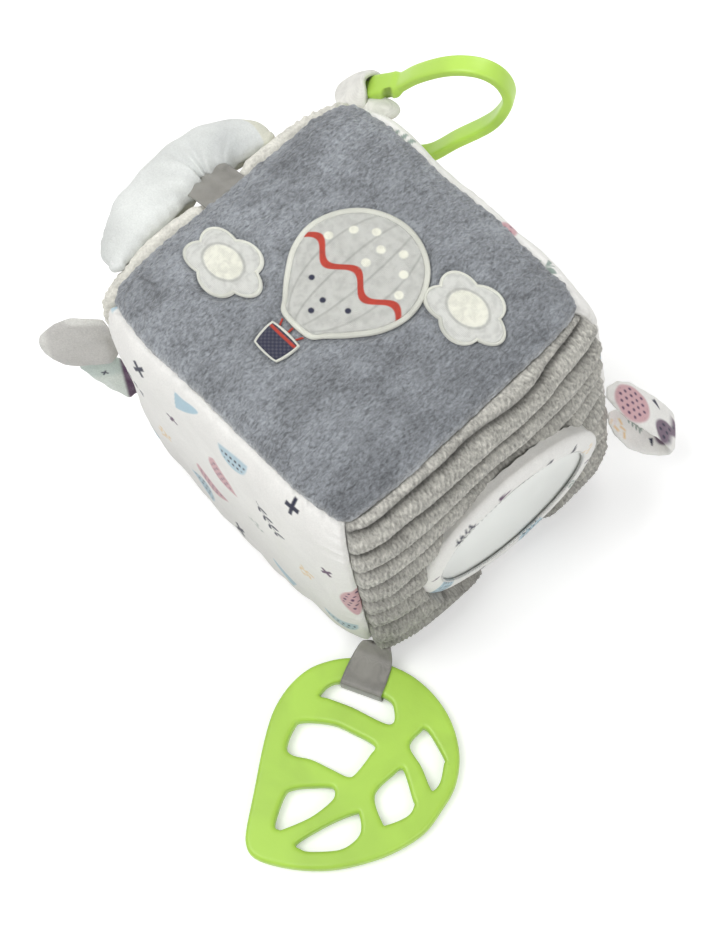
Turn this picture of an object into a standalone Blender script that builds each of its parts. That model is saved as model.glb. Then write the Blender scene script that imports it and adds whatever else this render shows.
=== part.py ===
"""Soft fabric activity block with cloth side pieces, a teether and a hanging ring.

The block stands on its flat base with +Z up and its origin at the centre of the base.
+Z is the plush top, -Y the printed front, +X the ribbed side with the mirror,
-X the textured side with the moon, and +Y the printed back.
"""
import math

import bmesh
import bpy
from mathutils import Matrix, Vector

MM = 0.001
DEG = math.pi / 180

# Block
BLOCK_WIDTH = 125 * MM
BLOCK_DEPTH = 125 * MM
BLOCK_HEIGHT = 122.4 * MM
BASE_CUT = 0.5 * MM
CORNER_POWER = 6.6
PANEL_THICKNESS = 2.4 * MM
GAP = 0.3 * MM
SEAM_GAP = 0.4 * MM
FILM_THICKNESS = 0.3 * MM
PANEL_CELLS = 10
CORE_CELLS = 10
FILM_CELLS = 4
FILM_HALF_SHARE = 0.58
POCKET_HALF_SHARE = 0.85

# How far the stuffing pushes each corner, as shares of the block's width and depth:
# side of the corner in x and y, then the push at the top and at the base.
CORNER_PUSH_SHARES = (
    (-1, 1, -0.008, -0.030, -0.003, -0.001),
    (-1, -1, -0.035, 0.004, 0.002, 0.034),
    (1, -1, 0.011, 0.002, 0.006, 0.010),
    (1, 1, -0.008, -0.025, 0.034, 0.005),
)

# Ribs of the mirror side
RIB_COUNT = 9
RIB_GROOVE = 1.2 * MM
RIB_PROUD = 0.8 * MM
RIB_STEP_SHARES = (0.0, 0.28, 0.5, 0.72)
RIB_ROUNDNESS = 0.7

# Rattle in the core
DRUM_RADIUS = 19 * MM
DRUM_WALL = 1.5 * MM
CUP_HEIGHT = 13 * MM
DRUM_CENTRE_HEIGHT = 60 * MM
BALL_RADIUS = 4.5 * MM
BALL_COUNT = 3
BALL_ORBIT = 10 * MM
ROUND_SEGMENTS = 32

# Mirror unit, stacked outwards from its seat
MIRROR_CENTRE_Y = 4.3 * MM
MIRROR_CENTRE_Z = 45 * MM
MIRROR_SEAT_X = 62.8 * MM
MIRROR_TILT = 3 * DEG
MIRROR_TUCK = 2.5 * MM
MIRROR_THICKNESS = 1.0 * MM
BOARD_THICKNESS = 1.1 * MM
FRAME_RADIUS = 40 * MM
FRAME_BORDER = 8.5 * MM
FRAME_WALL = 2.3 * MM
FRAME_RISE = 1.4 * MM
FRAME_LIP = 0.5 * MM
FRAME_EDGE = 1.2 * MM
SEAT_CLEARANCE = 0.4 * MM
SEAT_CUT_DEPTH = 12 * MM
FRAME_SEGMENTS = 36

# Patches sewn on the plush top
PATCH_THICKNESS = 0.8 * MM
PATCH_LIFT = 0.4 * MM
BALLOON_DIAMETER = 42 * MM
BALLOON_CENTRE_X = -2 * MM
BALLOON_CENTRE_Y = 9 * MM
STITCH_WIDTH = 2 * MM
STITCH_HEIGHT = 1.2 * MM
BASKET_WIDTH = 11 * MM
BASKET_HEIGHT = 8.5 * MM
BASKET_DROP = 9.5 * MM
CLOUD_RADIUS = 10.5 * MM
CLOUD_LOBES = 5
CLOUD_SCALLOP_SHARE = 0.24
CLOUD_STRETCH_SHARE = 1.35
CLOUD_POINTS = 30
LEFT_CLOUD_X = -33 * MM
LEFT_CLOUD_Y = -19 * MM
RIGHT_CLOUD_X = 31 * MM
RIGHT_CLOUD_Y = 24 * MM
BALLOON_SHARES = (
    (0.0, 0.5), (0.19, 0.46), (0.35, 0.355), (0.46, 0.19), (0.5, 0.0), (0.45, -0.2),
    (0.33, -0.38), (0.21, -0.52), (0.12, -0.61), (-0.12, -0.61), (-0.21, -0.52),
    (-0.33, -0.38), (-0.45, -0.2), (-0.5, 0.0), (-0.46, 0.19), (-0.35, 0.355), (-0.19, 0.46),
)
BASKET_SHARES = (
    (0.5, 0.36), (0.38, 0.5), (-0.38, 0.5), (-0.5, 0.36),
    (-0.43, -0.36), (-0.3, -0.5), (0.3, -0.5), (0.43, -0.36),
)
PATCH_RING_SHARES = (1.0, 0.62)

# Cloth roots: how far they stand off the seam, and how thin they are there
ROOT_GAP = 0.65 * MM
ROOT_HALF_THICKNESS = 0.4 * MM

# Hanging tab at the far left corner
TAB_ROOT_HEIGHT = 105 * MM
TAB_REACH = 9.0 * MM
TAB_SIDE_SHIFT = 2.8 * MM
TAB_DROP = 3.6 * MM
TAB_HALF_WIDTH = 6.0 * MM
TAB_ROOT_HALF_WIDTH = 4.5 * MM
TAB_THICKNESS = 1.2 * MM
TAB_ROOT_LAYER = 0.45 * MM
TAB_LOOP_RADIUS = 4.7 * MM
TAB_ANGLE_SHARES = (0.70, 0.50, 0.30, 0.10, -0.10, -0.30, -0.50, -0.70)

# Hanging ring: an egg-shaped hoop of flat band
RING_HEADING = -57.7 * DEG
RING_LEAN = 1.0 * DEG
RING_ROLL = 52.8 * DEG
RING_SMALL_RADIUS = 13.7 * MM
RING_LARGE_RADIUS = 18.5 * MM
RING_CENTRE_DISTANCE = 39.5 * MM
RING_BAND_WIDTH = 6 * MM
RING_BAND_THICKNESS = 2.8 * MM
RING_STATIONS = 56
RING_TAB_SHARE = 0.04
CLASP_START = 7 * MM
CLASP_LENGTH = 12 * MM
CLASP_WIDTH = 9 * MM
CLASP_THICKNESS = 5.6 * MM
BAND_SECTION_SHARES = (
    (1.0, 0.5), (0.6, 1.0), (-0.6, 1.0), (-1.0, 0.5), (-1.0, -0.5), (-0.6, -1.0), (0.6, -1.0), (1.0, -0.5),
)

# Teether leaf, in shares of its width and length from the ribbon's rim
LEAF_LENGTH = 73.8 * MM
LEAF_WIDTH = 70.8 * MM
LEAF_THICKNESS = 4.6 * MM
LEAF_ROUNDING = 1.4 * MM
LEAF_EDGE_SHARES = ((0.0, 1.0), (0.3, 0.3), (1.0, 0.0))
LEAF_OUTLINE_SHARES = (
    (-0.12, 0.00), (-0.22, 0.01), (-0.31, 0.06), (-0.41, 0.12), (-0.47, 0.23), (-0.50, 0.30),
    (-0.53, 0.45), (-0.56, 0.65), (-0.585, 0.81), (-0.585, 0.885), (-0.555, 0.94), (-0.475, 0.975),
    (-0.33, 1.00), (-0.18, 1.00), (-0.03, 0.97), (0.12, 0.915), (0.26, 0.825), (0.345, 0.71),
    (0.40, 0.61), (0.42, 0.49), (0.405, 0.38), (0.36, 0.27), (0.285, 0.17), (0.19, 0.09),
    (0.09, 0.04), (-0.01, 0.01),
)
LEAF_HOLE_SHARES = (
    ((-0.26, 0.18), (-0.17, 0.12), (0.05, 0.19), (0.10, 0.25), (0.08, 0.32), (-0.10, 0.24), (-0.21, 0.20)),
    ((-0.41, 0.43), (-0.38, 0.34), (-0.34, 0.31), (-0.20, 0.32), (-0.10, 0.36), (0.01, 0.42),
     (-0.01, 0.47), (-0.07, 0.55), (-0.11, 0.57), (-0.20, 0.53), (-0.29, 0.49), (-0.38, 0.47)),
    ((-0.45, 0.79), (-0.41, 0.66), (-0.37, 0.63), (-0.28, 0.62), (-0.19, 0.62), (-0.17, 0.65),
     (-0.19, 0.69), (-0.28, 0.76), (-0.39, 0.81), (-0.43, 0.82)),
    ((-0.34, 0.88), (-0.19, 0.79), (-0.07, 0.74), (-0.05, 0.75), (-0.04, 0.82), (-0.07, 0.87),
     (-0.14, 0.91), (-0.27, 0.92), (-0.32, 0.91)),
    ((0.02, 0.65), (0.11, 0.55), (0.14, 0.53), (0.16, 0.55), (0.20, 0.67), (0.21, 0.70),
     (0.18, 0.75), (0.09, 0.79), (0.06, 0.78)),
    ((0.18, 0.42), (0.23, 0.35), (0.25, 0.34), (0.28, 0.37), (0.36, 0.48), (0.36, 0.51),
     (0.33, 0.59), (0.30, 0.63), (0.28, 0.61), (0.24, 0.52)),
)

# Satin ribbon that carries the teether
RIBBON_WIDTH = 15 * MM
RIBBON_THICKNESS = 0.5 * MM
RIBBON_PINCH_WIDTH = 5 * MM
RIBBON_REACH = 5.2 * MM
RIBBON_SLANT = 20 * DEG
SLOT_EDGE_SHARES = (-0.06, 0.155)

# Moon and its ribbon, in the plane that falls away from the top seam
MOON_FALL = 25 * DEG
MOON_THICKNESS = 17 * MM
MOON_CLOTH = 1.2 * MM
MOON_LENGTH = 70 * MM
MOON_WIDTH = 22 * MM
MOON_STANDOFF = 24 * MM
MOON_SHARES = (
    (-0.590, -0.80, 0.14), (-0.537, -0.62, 0.32), (-0.463, -0.44, 0.45), (-0.363, -0.28, 0.545),
    (-0.243, -0.16, 0.59), (-0.120, -0.06, 0.585), (0.0, 0.0, 0.53), (0.103, -0.07, 0.54),
    (0.189, -0.23, 0.51), (0.254, -0.43, 0.43), (0.309, -0.64, 0.285), (0.334, -0.82, 0.13),
)
MOON_ARC_STEPS = 6
MOON_RIBBON_PLEAT = 0.9 * MM
MOON_RIBBON_END_WIDTH = 7 * MM

# Flaps at the near left corner: outward place, drop of the centre, half height, half thickness,
# each as a share of the flap's reach, height and thickness
UPPER_FLAP_REACH = 25.4 * MM
UPPER_FLAP_HEIGHT = 25 * MM
UPPER_FLAP_THICKNESS = 4.2 * MM
UPPER_FLAP_CENTRE = 84.5 * MM
UPPER_FLAP_LEAN = 12 * DEG
UPPER_FLAP_SHARES = (
    (0.0, 0.0, 0.38, 0.0), (0.10, 0.01, 0.46, 0.36), (0.30, 0.03, 0.5, 0.5), (0.52, 0.05, 0.5, 0.5),
    (0.74, 0.08, 0.43, 0.46), (0.89, 0.10, 0.31, 0.36), (0.97, 0.11, 0.19, 0.26), (1.0, 0.11, 0.07, 0.16),
)
LOWER_FLAP_REACH = 16.4 * MM
LOWER_FLAP_HEIGHT = 25 * MM
LOWER_FLAP_THICKNESS = 3.2 * MM
LOWER_FLAP_CENTRE = 55.5 * MM
LOWER_FLAP_LEAN = 12 * DEG
LOWER_FLAP_SHARES = (
    (0.0, 0.0, 0.46, 0.0), (0.16, -0.03, 0.46, 0.4), (0.40, -0.14, 0.38, 0.5), (0.64, -0.26, 0.26, 0.5),
    (0.84, -0.36, 0.16, 0.4), (1.0, -0.43, 0.06, 0.2),
)

# Printed loop at the far right corner: outward place, height and width as shares
LOOP_REACH = 22.3 * MM
LOOP_HEIGHT = 37 * MM
LOOP_BASE = 15.8 * MM
LOOP_WIDTH = 15 * MM
LOOP_THICKNESS = 2.8 * MM
LOOP_SHARES = (
    (0.0, 1.0, 0.3), (0.13, 0.96, 0.7), (0.31, 0.82, 0.96), (0.57, 0.61, 1.0), (0.79, 0.40, 1.0),
    (0.93, 0.24, 1.0), (1.0, 0.12, 1.0), (0.95, 0.03, 1.0), (0.80, 0.0, 1.0), (0.56, 0.05, 1.0),
    (0.34, 0.16, 0.96), (0.14, 0.34, 0.7), (0.0, 0.46, 0.3),
)

CLOTH_SECTION_SHARES = (
    (1.0, 0.0), (0.86, 0.75), (0.45, 1.0), (-0.45, 1.0), (-0.86, 0.75),
    (-1.0, 0.0), (-0.86, -0.75), (-0.45, -1.0), (0.45, -1.0), (0.86, -0.75),
)
STRIP_SECTION_SHARES = ((1.0, 1.0), (-1.0, 1.0), (-1.0, -1.0), (1.0, -1.0))
SMOOTH_ANGLE = 50 * DEG

HALF_WIDTH = BLOCK_WIDTH / 2
HALF_DEPTH = BLOCK_DEPTH / 2
HALF_HEIGHT = (BLOCK_HEIGHT + BASE_CUT) / 2
CENTRE_HEIGHT = HALF_HEIGHT - BASE_CUT
SEAM_SHARE = 1 - SEAM_GAP / HALF_WIDTH
CORE_DEPTH = PANEL_THICKNESS + GAP
FILM_DEPTH = PANEL_THICKNESS + GAP
POCKET_DEPTH = FILM_DEPTH + FILM_THICKNESS + GAP
MIRROR_WINDOW_RADIUS = FRAME_RADIUS - FRAME_BORDER
MIRROR_RADIUS = MIRROR_WINDOW_RADIUS + MIRROR_TUCK
BOARD_RADIUS = FRAME_RADIUS - FRAME_WALL - GAP
ALONG = Vector((1, 1, 0)).normalized()
OUT_RIGHT = Vector((1, -1, 0)).normalized()
UP = Vector((0, 0, 1))

TOP = lambda a, b: (a, b, 1)
BASE = lambda a, b: (a, b, -1)
FRONT = lambda a, b: (a, -1, b)
BACK = lambda a, b: (a, 1, b)
RIBBED = lambda a, b: (1, a, b)
TEXTURED = lambda a, b: (-1, a, b)


def linear(value):
    """Turn one screen colour value from 0 to 255 into linear light."""
    share = value / 255
    return share / 12.92 if share <= 0.04045 else ((share + 0.055) / 1.055) ** 2.4


def make_material(name, colour, roughness, metallic=0.0):
    material = bpy.data.materials.new(name)
    material.use_nodes = True
    shader = material.node_tree.nodes["Principled BSDF"]
    rgba = tuple(linear(value) for value in colour) + (1.0,)
    shader.inputs["Base Color"].default_value = rgba
    shader.inputs["Roughness"].default_value = roughness
    shader.inputs["Metallic"].default_value = metallic
    material.diffuse_color = rgba
    return material


def make_object(name, verts, faces, look, frame=None, origin=None, parent=None, fill_loops=()):
    """Build one closed body. Points are in the given frame, or in world space from origin."""
    shift = origin if origin is not None else Vector((0, 0, 0))
    bm = bmesh.new()
    made = [bm.verts.new(point - shift) for point in verts]
    for face in faces:
        bm.faces.new([made[index] for index in face])
    for loops in fill_loops:
        edges = []
        for loop in loops:
            for here, there in zip(loop, loop[1:] + loop[:1]):
                edges.append(bm.edges.get((made[here], made[there])))
        bmesh.ops.triangle_fill(bm, use_beauty=True, use_dissolve=False, edges=edges)
    bmesh.ops.recalc_face_normals(bm, faces=bm.faces)
    mesh = bpy.data.meshes.new(name)
    bm.to_mesh(mesh)
    bm.free()
    mesh.shade_smooth()
    mesh.set_sharp_from_angle(angle=SMOOTH_ANGLE)
    body = bpy.data.objects.new(name, mesh)
    bpy.context.scene.collection.objects.link(body)
    body.data.materials.append(make_material(name + "_look", *look))
    body.matrix_basis = frame if frame is not None else Matrix.Translation(shift)
    if parent is not None:
        body.parent = parent
        body.matrix_parent_inverse = parent.matrix_basis.inverted()
    return body


def make_axis(name, place, axis):
    """An empty on a joint, with its own Z along the joint's axis."""
    empty = bpy.data.objects.new(name, None)
    empty.empty_display_size = PANEL_THICKNESS
    turn = axis.to_track_quat("Z", "Y").to_matrix().to_4x4()
    empty.matrix_basis = Matrix.Translation(place) @ turn
    bpy.context.scene.collection.objects.link(empty)
    return empty


def block_point(direction, depth):
    """The point of the stuffed block's skin in a direction of the unit cube, at a depth under it."""
    size = sum(abs(value) ** CORNER_POWER for value in direction) ** (1 / CORNER_POWER)
    qx, qy, qz = (value / size for value in direction)
    x = qx * (HALF_WIDTH - depth)
    y = qy * (HALF_DEPTH - depth)
    z = qz * (HALF_HEIGHT - depth) + CENTRE_HEIGHT
    rise = (1 + qz) / 2
    for side_x, side_y, top_x, top_y, low_x, low_y in CORNER_PUSH_SHARES:
        weight = (1 + side_x * qx) / 2 * (1 + side_y * qy) / 2
        x += weight * (rise * top_x + (1 - rise) * low_x) * BLOCK_WIDTH
        y += weight * (rise * top_y + (1 - rise) * low_y) * BLOCK_DEPTH
    return Vector((x, y, max(z, max(depth, 0))))


def corner_point(side_x, side_y, height):
    """The point of a vertical corner seam at a height."""
    low, high = -1.0, 1.0
    while high - low > SEAM_GAP:
        middle = (low + high) / 2
        if block_point((side_x, side_y, middle), 0).z < height:
            low = middle
        else:
            high = middle
    return block_point((side_x, side_y, low), 0)


def top_point(x, y, lift):
    """A point over the plush top, from its place in plan."""
    qx = x / HALF_WIDTH
    qy = y / HALF_DEPTH
    qz = (1 - abs(qx) ** CORNER_POWER - abs(qy) ** CORNER_POWER) ** (1 / CORNER_POWER)
    return block_point((qx, qy, qz), -lift)


def spread(cells, reach):
    """Grid lines from edge to edge, closer together near the edges."""
    return [reach * math.sin(math.pi / 2 * (2 * step / cells - 1)) for step in range(cells + 1)]


def closed_sheet(outer, inner):
    """Join two equal grids of points into one closed body."""
    rows, columns = len(outer), len(outer[0])
    verts = [point for row in outer for point in row] + [point for row in inner for point in row]
    under = rows * columns
    place = lambda row, column: row * columns + column
    faces = []
    for row in range(rows - 1):
        for column in range(columns - 1):
            quad = (place(row, column), place(row, column + 1), place(row + 1, column + 1), place(row + 1, column))
            faces.append(quad)
            faces.append(tuple(under + index for index in reversed(quad)))
    border = [place(0, column) for column in range(columns - 1)]
    border += [place(row, columns - 1) for row in range(rows - 1)]
    border += [place(rows - 1, column) for column in range(columns - 1, 0, -1)]
    border += [place(row, 0) for row in range(rows - 1, 0, -1)]
    for here, there in zip(border, border[1:] + border[:1]):
        faces.append((here, here + under, there + under, there))
    return verts, faces


def skin_sheet(name, side, columns, rows, outer_depth, inner_depth, look, parent):
    """A piece of the block's skin between two depths."""
    outer = [[block_point(side(a, b), outer_depth(a, row)) for a in columns] for row, b in enumerate(rows)]
    inner = [[block_point(side(a, b), inner_depth) for a in columns] for b in rows]
    verts, faces = closed_sheet(outer, inner)
    return make_object(name, verts, faces, look, parent=parent)


def loft(sections, closed=False):
    """Skin a row of equal sections, with capped ends unless it closes on itself."""
    count = len(sections[0])
    verts = [point for section in sections for point in section]
    faces = []
    last = len(sections) if closed else len(sections) - 1
    for station in range(last):
        here = station * count
        there = (station + 1) % len(sections) * count
        for side in range(count):
            after = (side + 1) % count
            faces.append((here + side, here + after, there + after, there + side))
    if not closed:
        faces.append(tuple(reversed(range(count))))
        faces.append(tuple((len(sections) - 1) * count + side for side in range(count)))
    return verts, faces


def section(centre, wide, thick, shares):
    return [centre + wide * across + thick * over for across, over in shares]


def lathe(profile, segments):
    """Turn (radius, height) points about Z. A point on the axis becomes one vertex."""
    verts, rings, faces = [], [], []
    for radius, height in profile:
        if radius == 0:
            rings.append([len(verts)])
            verts.append(Vector((0, 0, height)))
            continue
        ring = []
        for step in range(segments):
            angle = 2 * math.pi * step / segments
            ring.append(len(verts))
            verts.append(Vector((radius * math.cos(angle), radius * math.sin(angle), height)))
        rings.append(ring)
    pairs = list(zip(rings, rings[1:]))
    if len(rings[0]) > 1:
        pairs.append((rings[-1], rings[0]))
    for lower, upper in pairs:
        for step in range(segments):
            after = (step + 1) % segments
            if len(lower) > 1 and len(upper) > 1:
                faces.append((lower[step], lower[after], upper[after], upper[step]))
            elif len(upper) > 1:
                faces.append((lower[0], upper[after], upper[step]))
            elif len(lower) > 1:
                faces.append((lower[step], lower[after], upper[0]))
    return verts, faces


def smooth_loop(points, steps):
    """A closed curve through the points, with steps pieces between each two."""
    count = len(points)
    curve = []
    for index in range(count):
        before, here, there, after = (points[(index + k) % count] for k in (-1, 0, 1, 2))
        for step in range(steps):
            t = step / steps
            curve.append(tuple(
                0.5 * (2 * q + (r - p) * t + (2 * p - 5 * q + 4 * r - s) * t * t + (3 * q - p - 3 * r + s) * t ** 3)
                for p, q, r, s in zip(before, here, there, after)))
    return curve


def inset_loop(points, distance):
    """Move a closed curve to its own inner side."""
    count = len(points)
    area = sum(points[k][0] * points[(k + 1) % count][1] - points[(k + 1) % count][0] * points[k][1]
               for k in range(count))
    turn = 1 if area > 0 else -1
    moved = []
    for index in range(count):
        (x0, y0), (x1, y1) = points[index - 1], points[(index + 1) % count]
        run = math.hypot(x1 - x0, y1 - y0)
        moved.append((points[index][0] - turn * (y1 - y0) / run * distance,
                      points[index][1] + turn * (x1 - x0) / run * distance))
    return moved


def patch(name, centre_x, centre_y, outline, look, parent):
    """A flat cloth patch that follows the plush top."""
    count = len(outline)
    verts, faces = [], []
    for lift in (PATCH_LIFT, PATCH_LIFT + PATCH_THICKNESS):
        for share in PATCH_RING_SHARES:
            verts += [top_point(centre_x + x * share, centre_y + y * share, lift) for x, y in outline]
        verts.append(top_point(centre_x, centre_y, lift))
    level = len(PATCH_RING_SHARES) * count + 1
    for base in (0, level):
        for ring in range(len(PATCH_RING_SHARES) - 1):
            for side in range(count):
                after = (side + 1) % count
                start = base + ring * count
                faces.append((start + side, start + after, start + count + after, start + count + side))
        inner = base + (len(PATCH_RING_SHARES) - 1) * count
        for side in range(count):
            faces.append((inner + side, inner + (side + 1) % count, base + level - 1))
    for side in range(count):
        after = (side + 1) % count
        faces.append((side, after, level + after, level + side))
    return make_object(name, verts, faces, look, parent=parent)


def border(name, centre_x, centre_y, outline, look, parent):
    """A raised band of stitching just outside a patch."""
    sections = []
    steps = ((0.0, 0.0), (0.0, 0.7), (0.5, 1.0), (1.0, 0.7), (1.0, 0.0))
    for x, y in outline:
        run = math.hypot(x, y)
        points = []
        for across, over in steps:
            reach = 1 + (GAP + across * STITCH_WIDTH) / run
            lift = PATCH_LIFT + over * STITCH_HEIGHT
            points.append(top_point(centre_x + x * reach, centre_y + y * reach, lift))
        sections.append(points)
    verts, faces = loft(sections, closed=True)
    return make_object(name, verts, faces, look, parent=parent)


def build_block(root):
    """Core, skin panels, crinkle film and rattle."""
    lines = spread(PANEL_CELLS, SEAM_SHARE)
    flush = lambda a, row: 0
    skin_sheet("top_plush_panel", TOP, lines, lines, flush, PANEL_THICKNESS, ((150, 155, 162), 0.95), root)
    skin_sheet("front_print_panel", FRONT, lines, lines, flush, PANEL_THICKNESS, ((240, 239, 235), 0.9), root)
    skin_sheet("back_print_panel", BACK, lines, lines, flush, PANEL_THICKNESS, ((238, 237, 233), 0.9), root)
    skin_sheet("textured_side_panel", TEXTURED, lines, lines, flush, PANEL_THICKNESS, ((225, 224, 215), 0.95), root)
    skin_sheet("base_panel", BASE, lines, lines, flush, PANEL_THICKNESS, ((205, 205, 198), 0.95), root)

    steps = len(RIB_STEP_SHARES)
    rib_rows = []
    for step in range(RIB_COUNT * steps + 1):
        rib = step // steps + RIB_STEP_SHARES[step % steps]
        rib_rows.append(SEAM_SHARE * (2 * rib / RIB_COUNT - 1))

    def rib_depth(a, row):
        height = math.sin(math.pi * RIB_STEP_SHARES[row % steps]) ** RIB_ROUNDNESS
        return RIB_GROOVE * (1 - height) - RIB_PROUD * height * (1 - abs(a) ** CORNER_POWER)

    ribbed = skin_sheet("ribbed_side_panel", RIBBED, lines, rib_rows, rib_depth, PANEL_THICKNESS,
                        ((185, 183, 175), 0.95), root)

    film_lines = spread(FILM_CELLS, FILM_HALF_SHARE)
    skin_sheet("crinkle_film", FRONT, film_lines, film_lines, lambda a, row: FILM_DEPTH,
               FILM_DEPTH + FILM_THICKNESS, ((228, 232, 236), 0.3), root)

    verts, faces, known = [], [], {}
    core_lines = spread(CORE_CELLS, 1)
    for side in (TOP, BASE, FRONT, BACK, RIBBED, TEXTURED):
        grid = []
        for b in core_lines:
            row = []
            for a in core_lines:
                direction = side(a, b)
                key = tuple(round(value * HALF_WIDTH / MM) for value in direction)
                if key not in known:
                    in_pocket = side is FRONT and max(abs(a), abs(b)) < POCKET_HALF_SHARE
                    known[key] = len(verts)
                    verts.append(block_point(direction, POCKET_DEPTH if in_pocket else CORE_DEPTH))
                row.append(known[key])
            grid.append(row)
        for row in range(CORE_CELLS):
            for column in range(CORE_CELLS):
                faces.append((grid[row][column], grid[row][column + 1],
                              grid[row + 1][column + 1], grid[row + 1][column]))
    core = make_object("core_wadding", verts, faces, ((236, 236, 232), 0.95), parent=root)

    drum_low = DRUM_CENTRE_HEIGHT - GAP / 2 - CUP_HEIGHT
    drum_high = DRUM_CENTRE_HEIGHT + GAP / 2 + CUP_HEIGHT
    well_radius = DRUM_RADIUS + GAP
    verts, faces = lathe(((0, -CUP_HEIGHT), (well_radius, -CUP_HEIGHT), (well_radius, drum_high + GAP),
                          (0, drum_high + GAP)), ROUND_SEGMENTS)
    cutter = make_object("well_cutter", verts, faces, ((255, 255, 255), 0.5), parent=root)
    cut_away(core, cutter)
    verts, faces = lathe(((0, CORE_DEPTH), (DRUM_RADIUS, CORE_DEPTH), (DRUM_RADIUS, drum_low - GAP),
                          (0, drum_low - GAP)), ROUND_SEGMENTS)
    make_object("wadding_plug", verts, faces, ((236, 236, 232), 0.95), parent=root)

    shell = DRUM_RADIUS - DRUM_WALL
    for name, foot, rim in (("rattle_cup_lower", drum_low, drum_low + CUP_HEIGHT),
                            ("rattle_cup_upper", drum_high, drum_high - CUP_HEIGHT)):
        floor = foot + math.copysign(DRUM_WALL, rim - foot)
        profile = ((0, foot), (DRUM_RADIUS, foot), (DRUM_RADIUS, rim), (shell, rim), (shell, floor), (0, floor))
        verts, faces = lathe(profile, ROUND_SEGMENTS)
        make_object(name, verts, faces, ((232, 228, 214), 0.45), parent=root)

    ball_height = drum_low + DRUM_WALL + GAP + BALL_RADIUS
    for ball in range(BALL_COUNT):
        angle = 2 * math.pi * ball / BALL_COUNT
        centre = Vector((BALL_ORBIT * math.cos(angle), BALL_ORBIT * math.sin(angle), ball_height))
        rings = 6
        profile = [(0 if step in (0, rings) else BALL_RADIUS * math.sin(math.pi * step / rings),
                    -BALL_RADIUS * math.cos(math.pi * step / rings)) for step in range(rings + 1)]
        verts, faces = lathe(profile, 2 * rings)
        make_object("rattle_ball_%d" % (ball + 1), verts, faces, ((150, 170, 190), 0.4),
                    frame=Matrix.Translation(centre), parent=root)
    return ribbed


def cut_away(body, cutter):
    cutter.hide_render = True
    cutter.display_type = "WIRE"
    cut = body.modifiers.new("cut", "BOOLEAN")
    cut.operation = "DIFFERENCE"
    cut.solver = "EXACT"
    cut.object = cutter


def build_mirror(root, ribbed):
    """Board, mirror and cloth frame on a flat seat cut into the ribs."""
    place = Matrix.Translation((MIRROR_SEAT_X, MIRROR_CENTRE_Y, MIRROR_CENTRE_Z))
    frame = place @ Matrix.Rotation(math.pi / 2 + MIRROR_TILT, 4, "Y")
    cut_radius = FRAME_RADIUS + SEAT_CLEARANCE
    verts, faces = lathe(((0, 0), (cut_radius, 0), (cut_radius, SEAT_CUT_DEPTH), (0, SEAT_CUT_DEPTH)),
                         FRAME_SEGMENTS)
    cutter = make_object("seat_cutter", verts, faces, ((255, 255, 255), 0.5), frame=frame, parent=root)
    cut_away(ribbed, cutter)

    board_top = GAP + BOARD_THICKNESS
    mirror_foot = board_top + GAP
    mirror_top = mirror_foot + MIRROR_THICKNESS
    lip_foot = mirror_top + GAP
    lip_top = lip_foot + FRAME_LIP
    crest = lip_top + FRAME_RISE
    verts, faces = lathe(((0, GAP), (BOARD_RADIUS, GAP), (BOARD_RADIUS, board_top), (0, board_top)),
                         FRAME_SEGMENTS)
    make_object("mirror_backing_board", verts, faces, ((200, 196, 186), 0.8), frame=frame, parent=root)
    verts, faces = lathe(((0, mirror_foot), (MIRROR_RADIUS, mirror_foot), (MIRROR_RADIUS, mirror_top),
                          (0, mirror_top)), FRAME_SEGMENTS)
    make_object("mirror_disc", verts, faces, ((225, 228, 226), 0.08, 1.0), frame=frame, parent=root)
    board_wall = BOARD_RADIUS + GAP
    mirror_wall = MIRROR_RADIUS + GAP
    middle = (MIRROR_WINDOW_RADIUS + FRAME_RADIUS) / 2
    verts, faces = lathe((
        (FRAME_RADIUS, GAP), (FRAME_RADIUS, crest - FRAME_EDGE), (FRAME_RADIUS - FRAME_EDGE, crest - GAP),
        (middle, crest), (MIRROR_WINDOW_RADIUS + FRAME_EDGE, lip_top + FRAME_RISE / 2),
        (MIRROR_WINDOW_RADIUS, lip_top), (MIRROR_WINDOW_RADIUS, lip_foot), (mirror_wall, lip_foot),
        (mirror_wall, mirror_foot), (board_wall, mirror_foot), (board_wall, GAP)), FRAME_SEGMENTS)
    make_object("mirror_frame", verts, faces, ((236, 236, 234), 0.9), frame=frame, parent=root)


def build_patches(root):
    """Balloon, basket and two clouds on the plush top."""
    balloon = [(x * BALLOON_DIAMETER, y * BALLOON_DIAMETER) for x, y in smooth_loop(BALLOON_SHARES, 2)]
    patch("balloon_patch", BALLOON_CENTRE_X, BALLOON_CENTRE_Y, balloon, ((190, 190, 185), 0.9), root)
    border("balloon_stitch_border", BALLOON_CENTRE_X, BALLOON_CENTRE_Y, balloon, ((216, 216, 206), 0.6), root)
    basket = [(x * BASKET_WIDTH, y * BASKET_HEIGHT) for x, y in smooth_loop(BASKET_SHARES, 2)]
    foot = BALLOON_CENTRE_Y + min(y for x, y in balloon)
    patch("basket_patch", BALLOON_CENTRE_X, foot - BASKET_DROP, basket, ((38, 38, 48), 0.7), root)
    cloud = []
    for step in range(CLOUD_POINTS):
        angle = 2 * math.pi * step / CLOUD_POINTS
        reach = CLOUD_RADIUS * (1 - CLOUD_SCALLOP_SHARE * (1 - abs(math.cos(CLOUD_LOBES * angle / 2))))
        cloud.append((reach * math.cos(angle) * CLOUD_STRETCH_SHARE, reach * math.sin(angle)))
    patch("cloud_patch_left", LEFT_CLOUD_X, LEFT_CLOUD_Y, cloud, ((205, 205, 200), 0.9), root)
    patch("cloud_patch_right", RIGHT_CLOUD_X, RIGHT_CLOUD_Y, cloud, ((205, 205, 200), 0.9), root)


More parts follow.
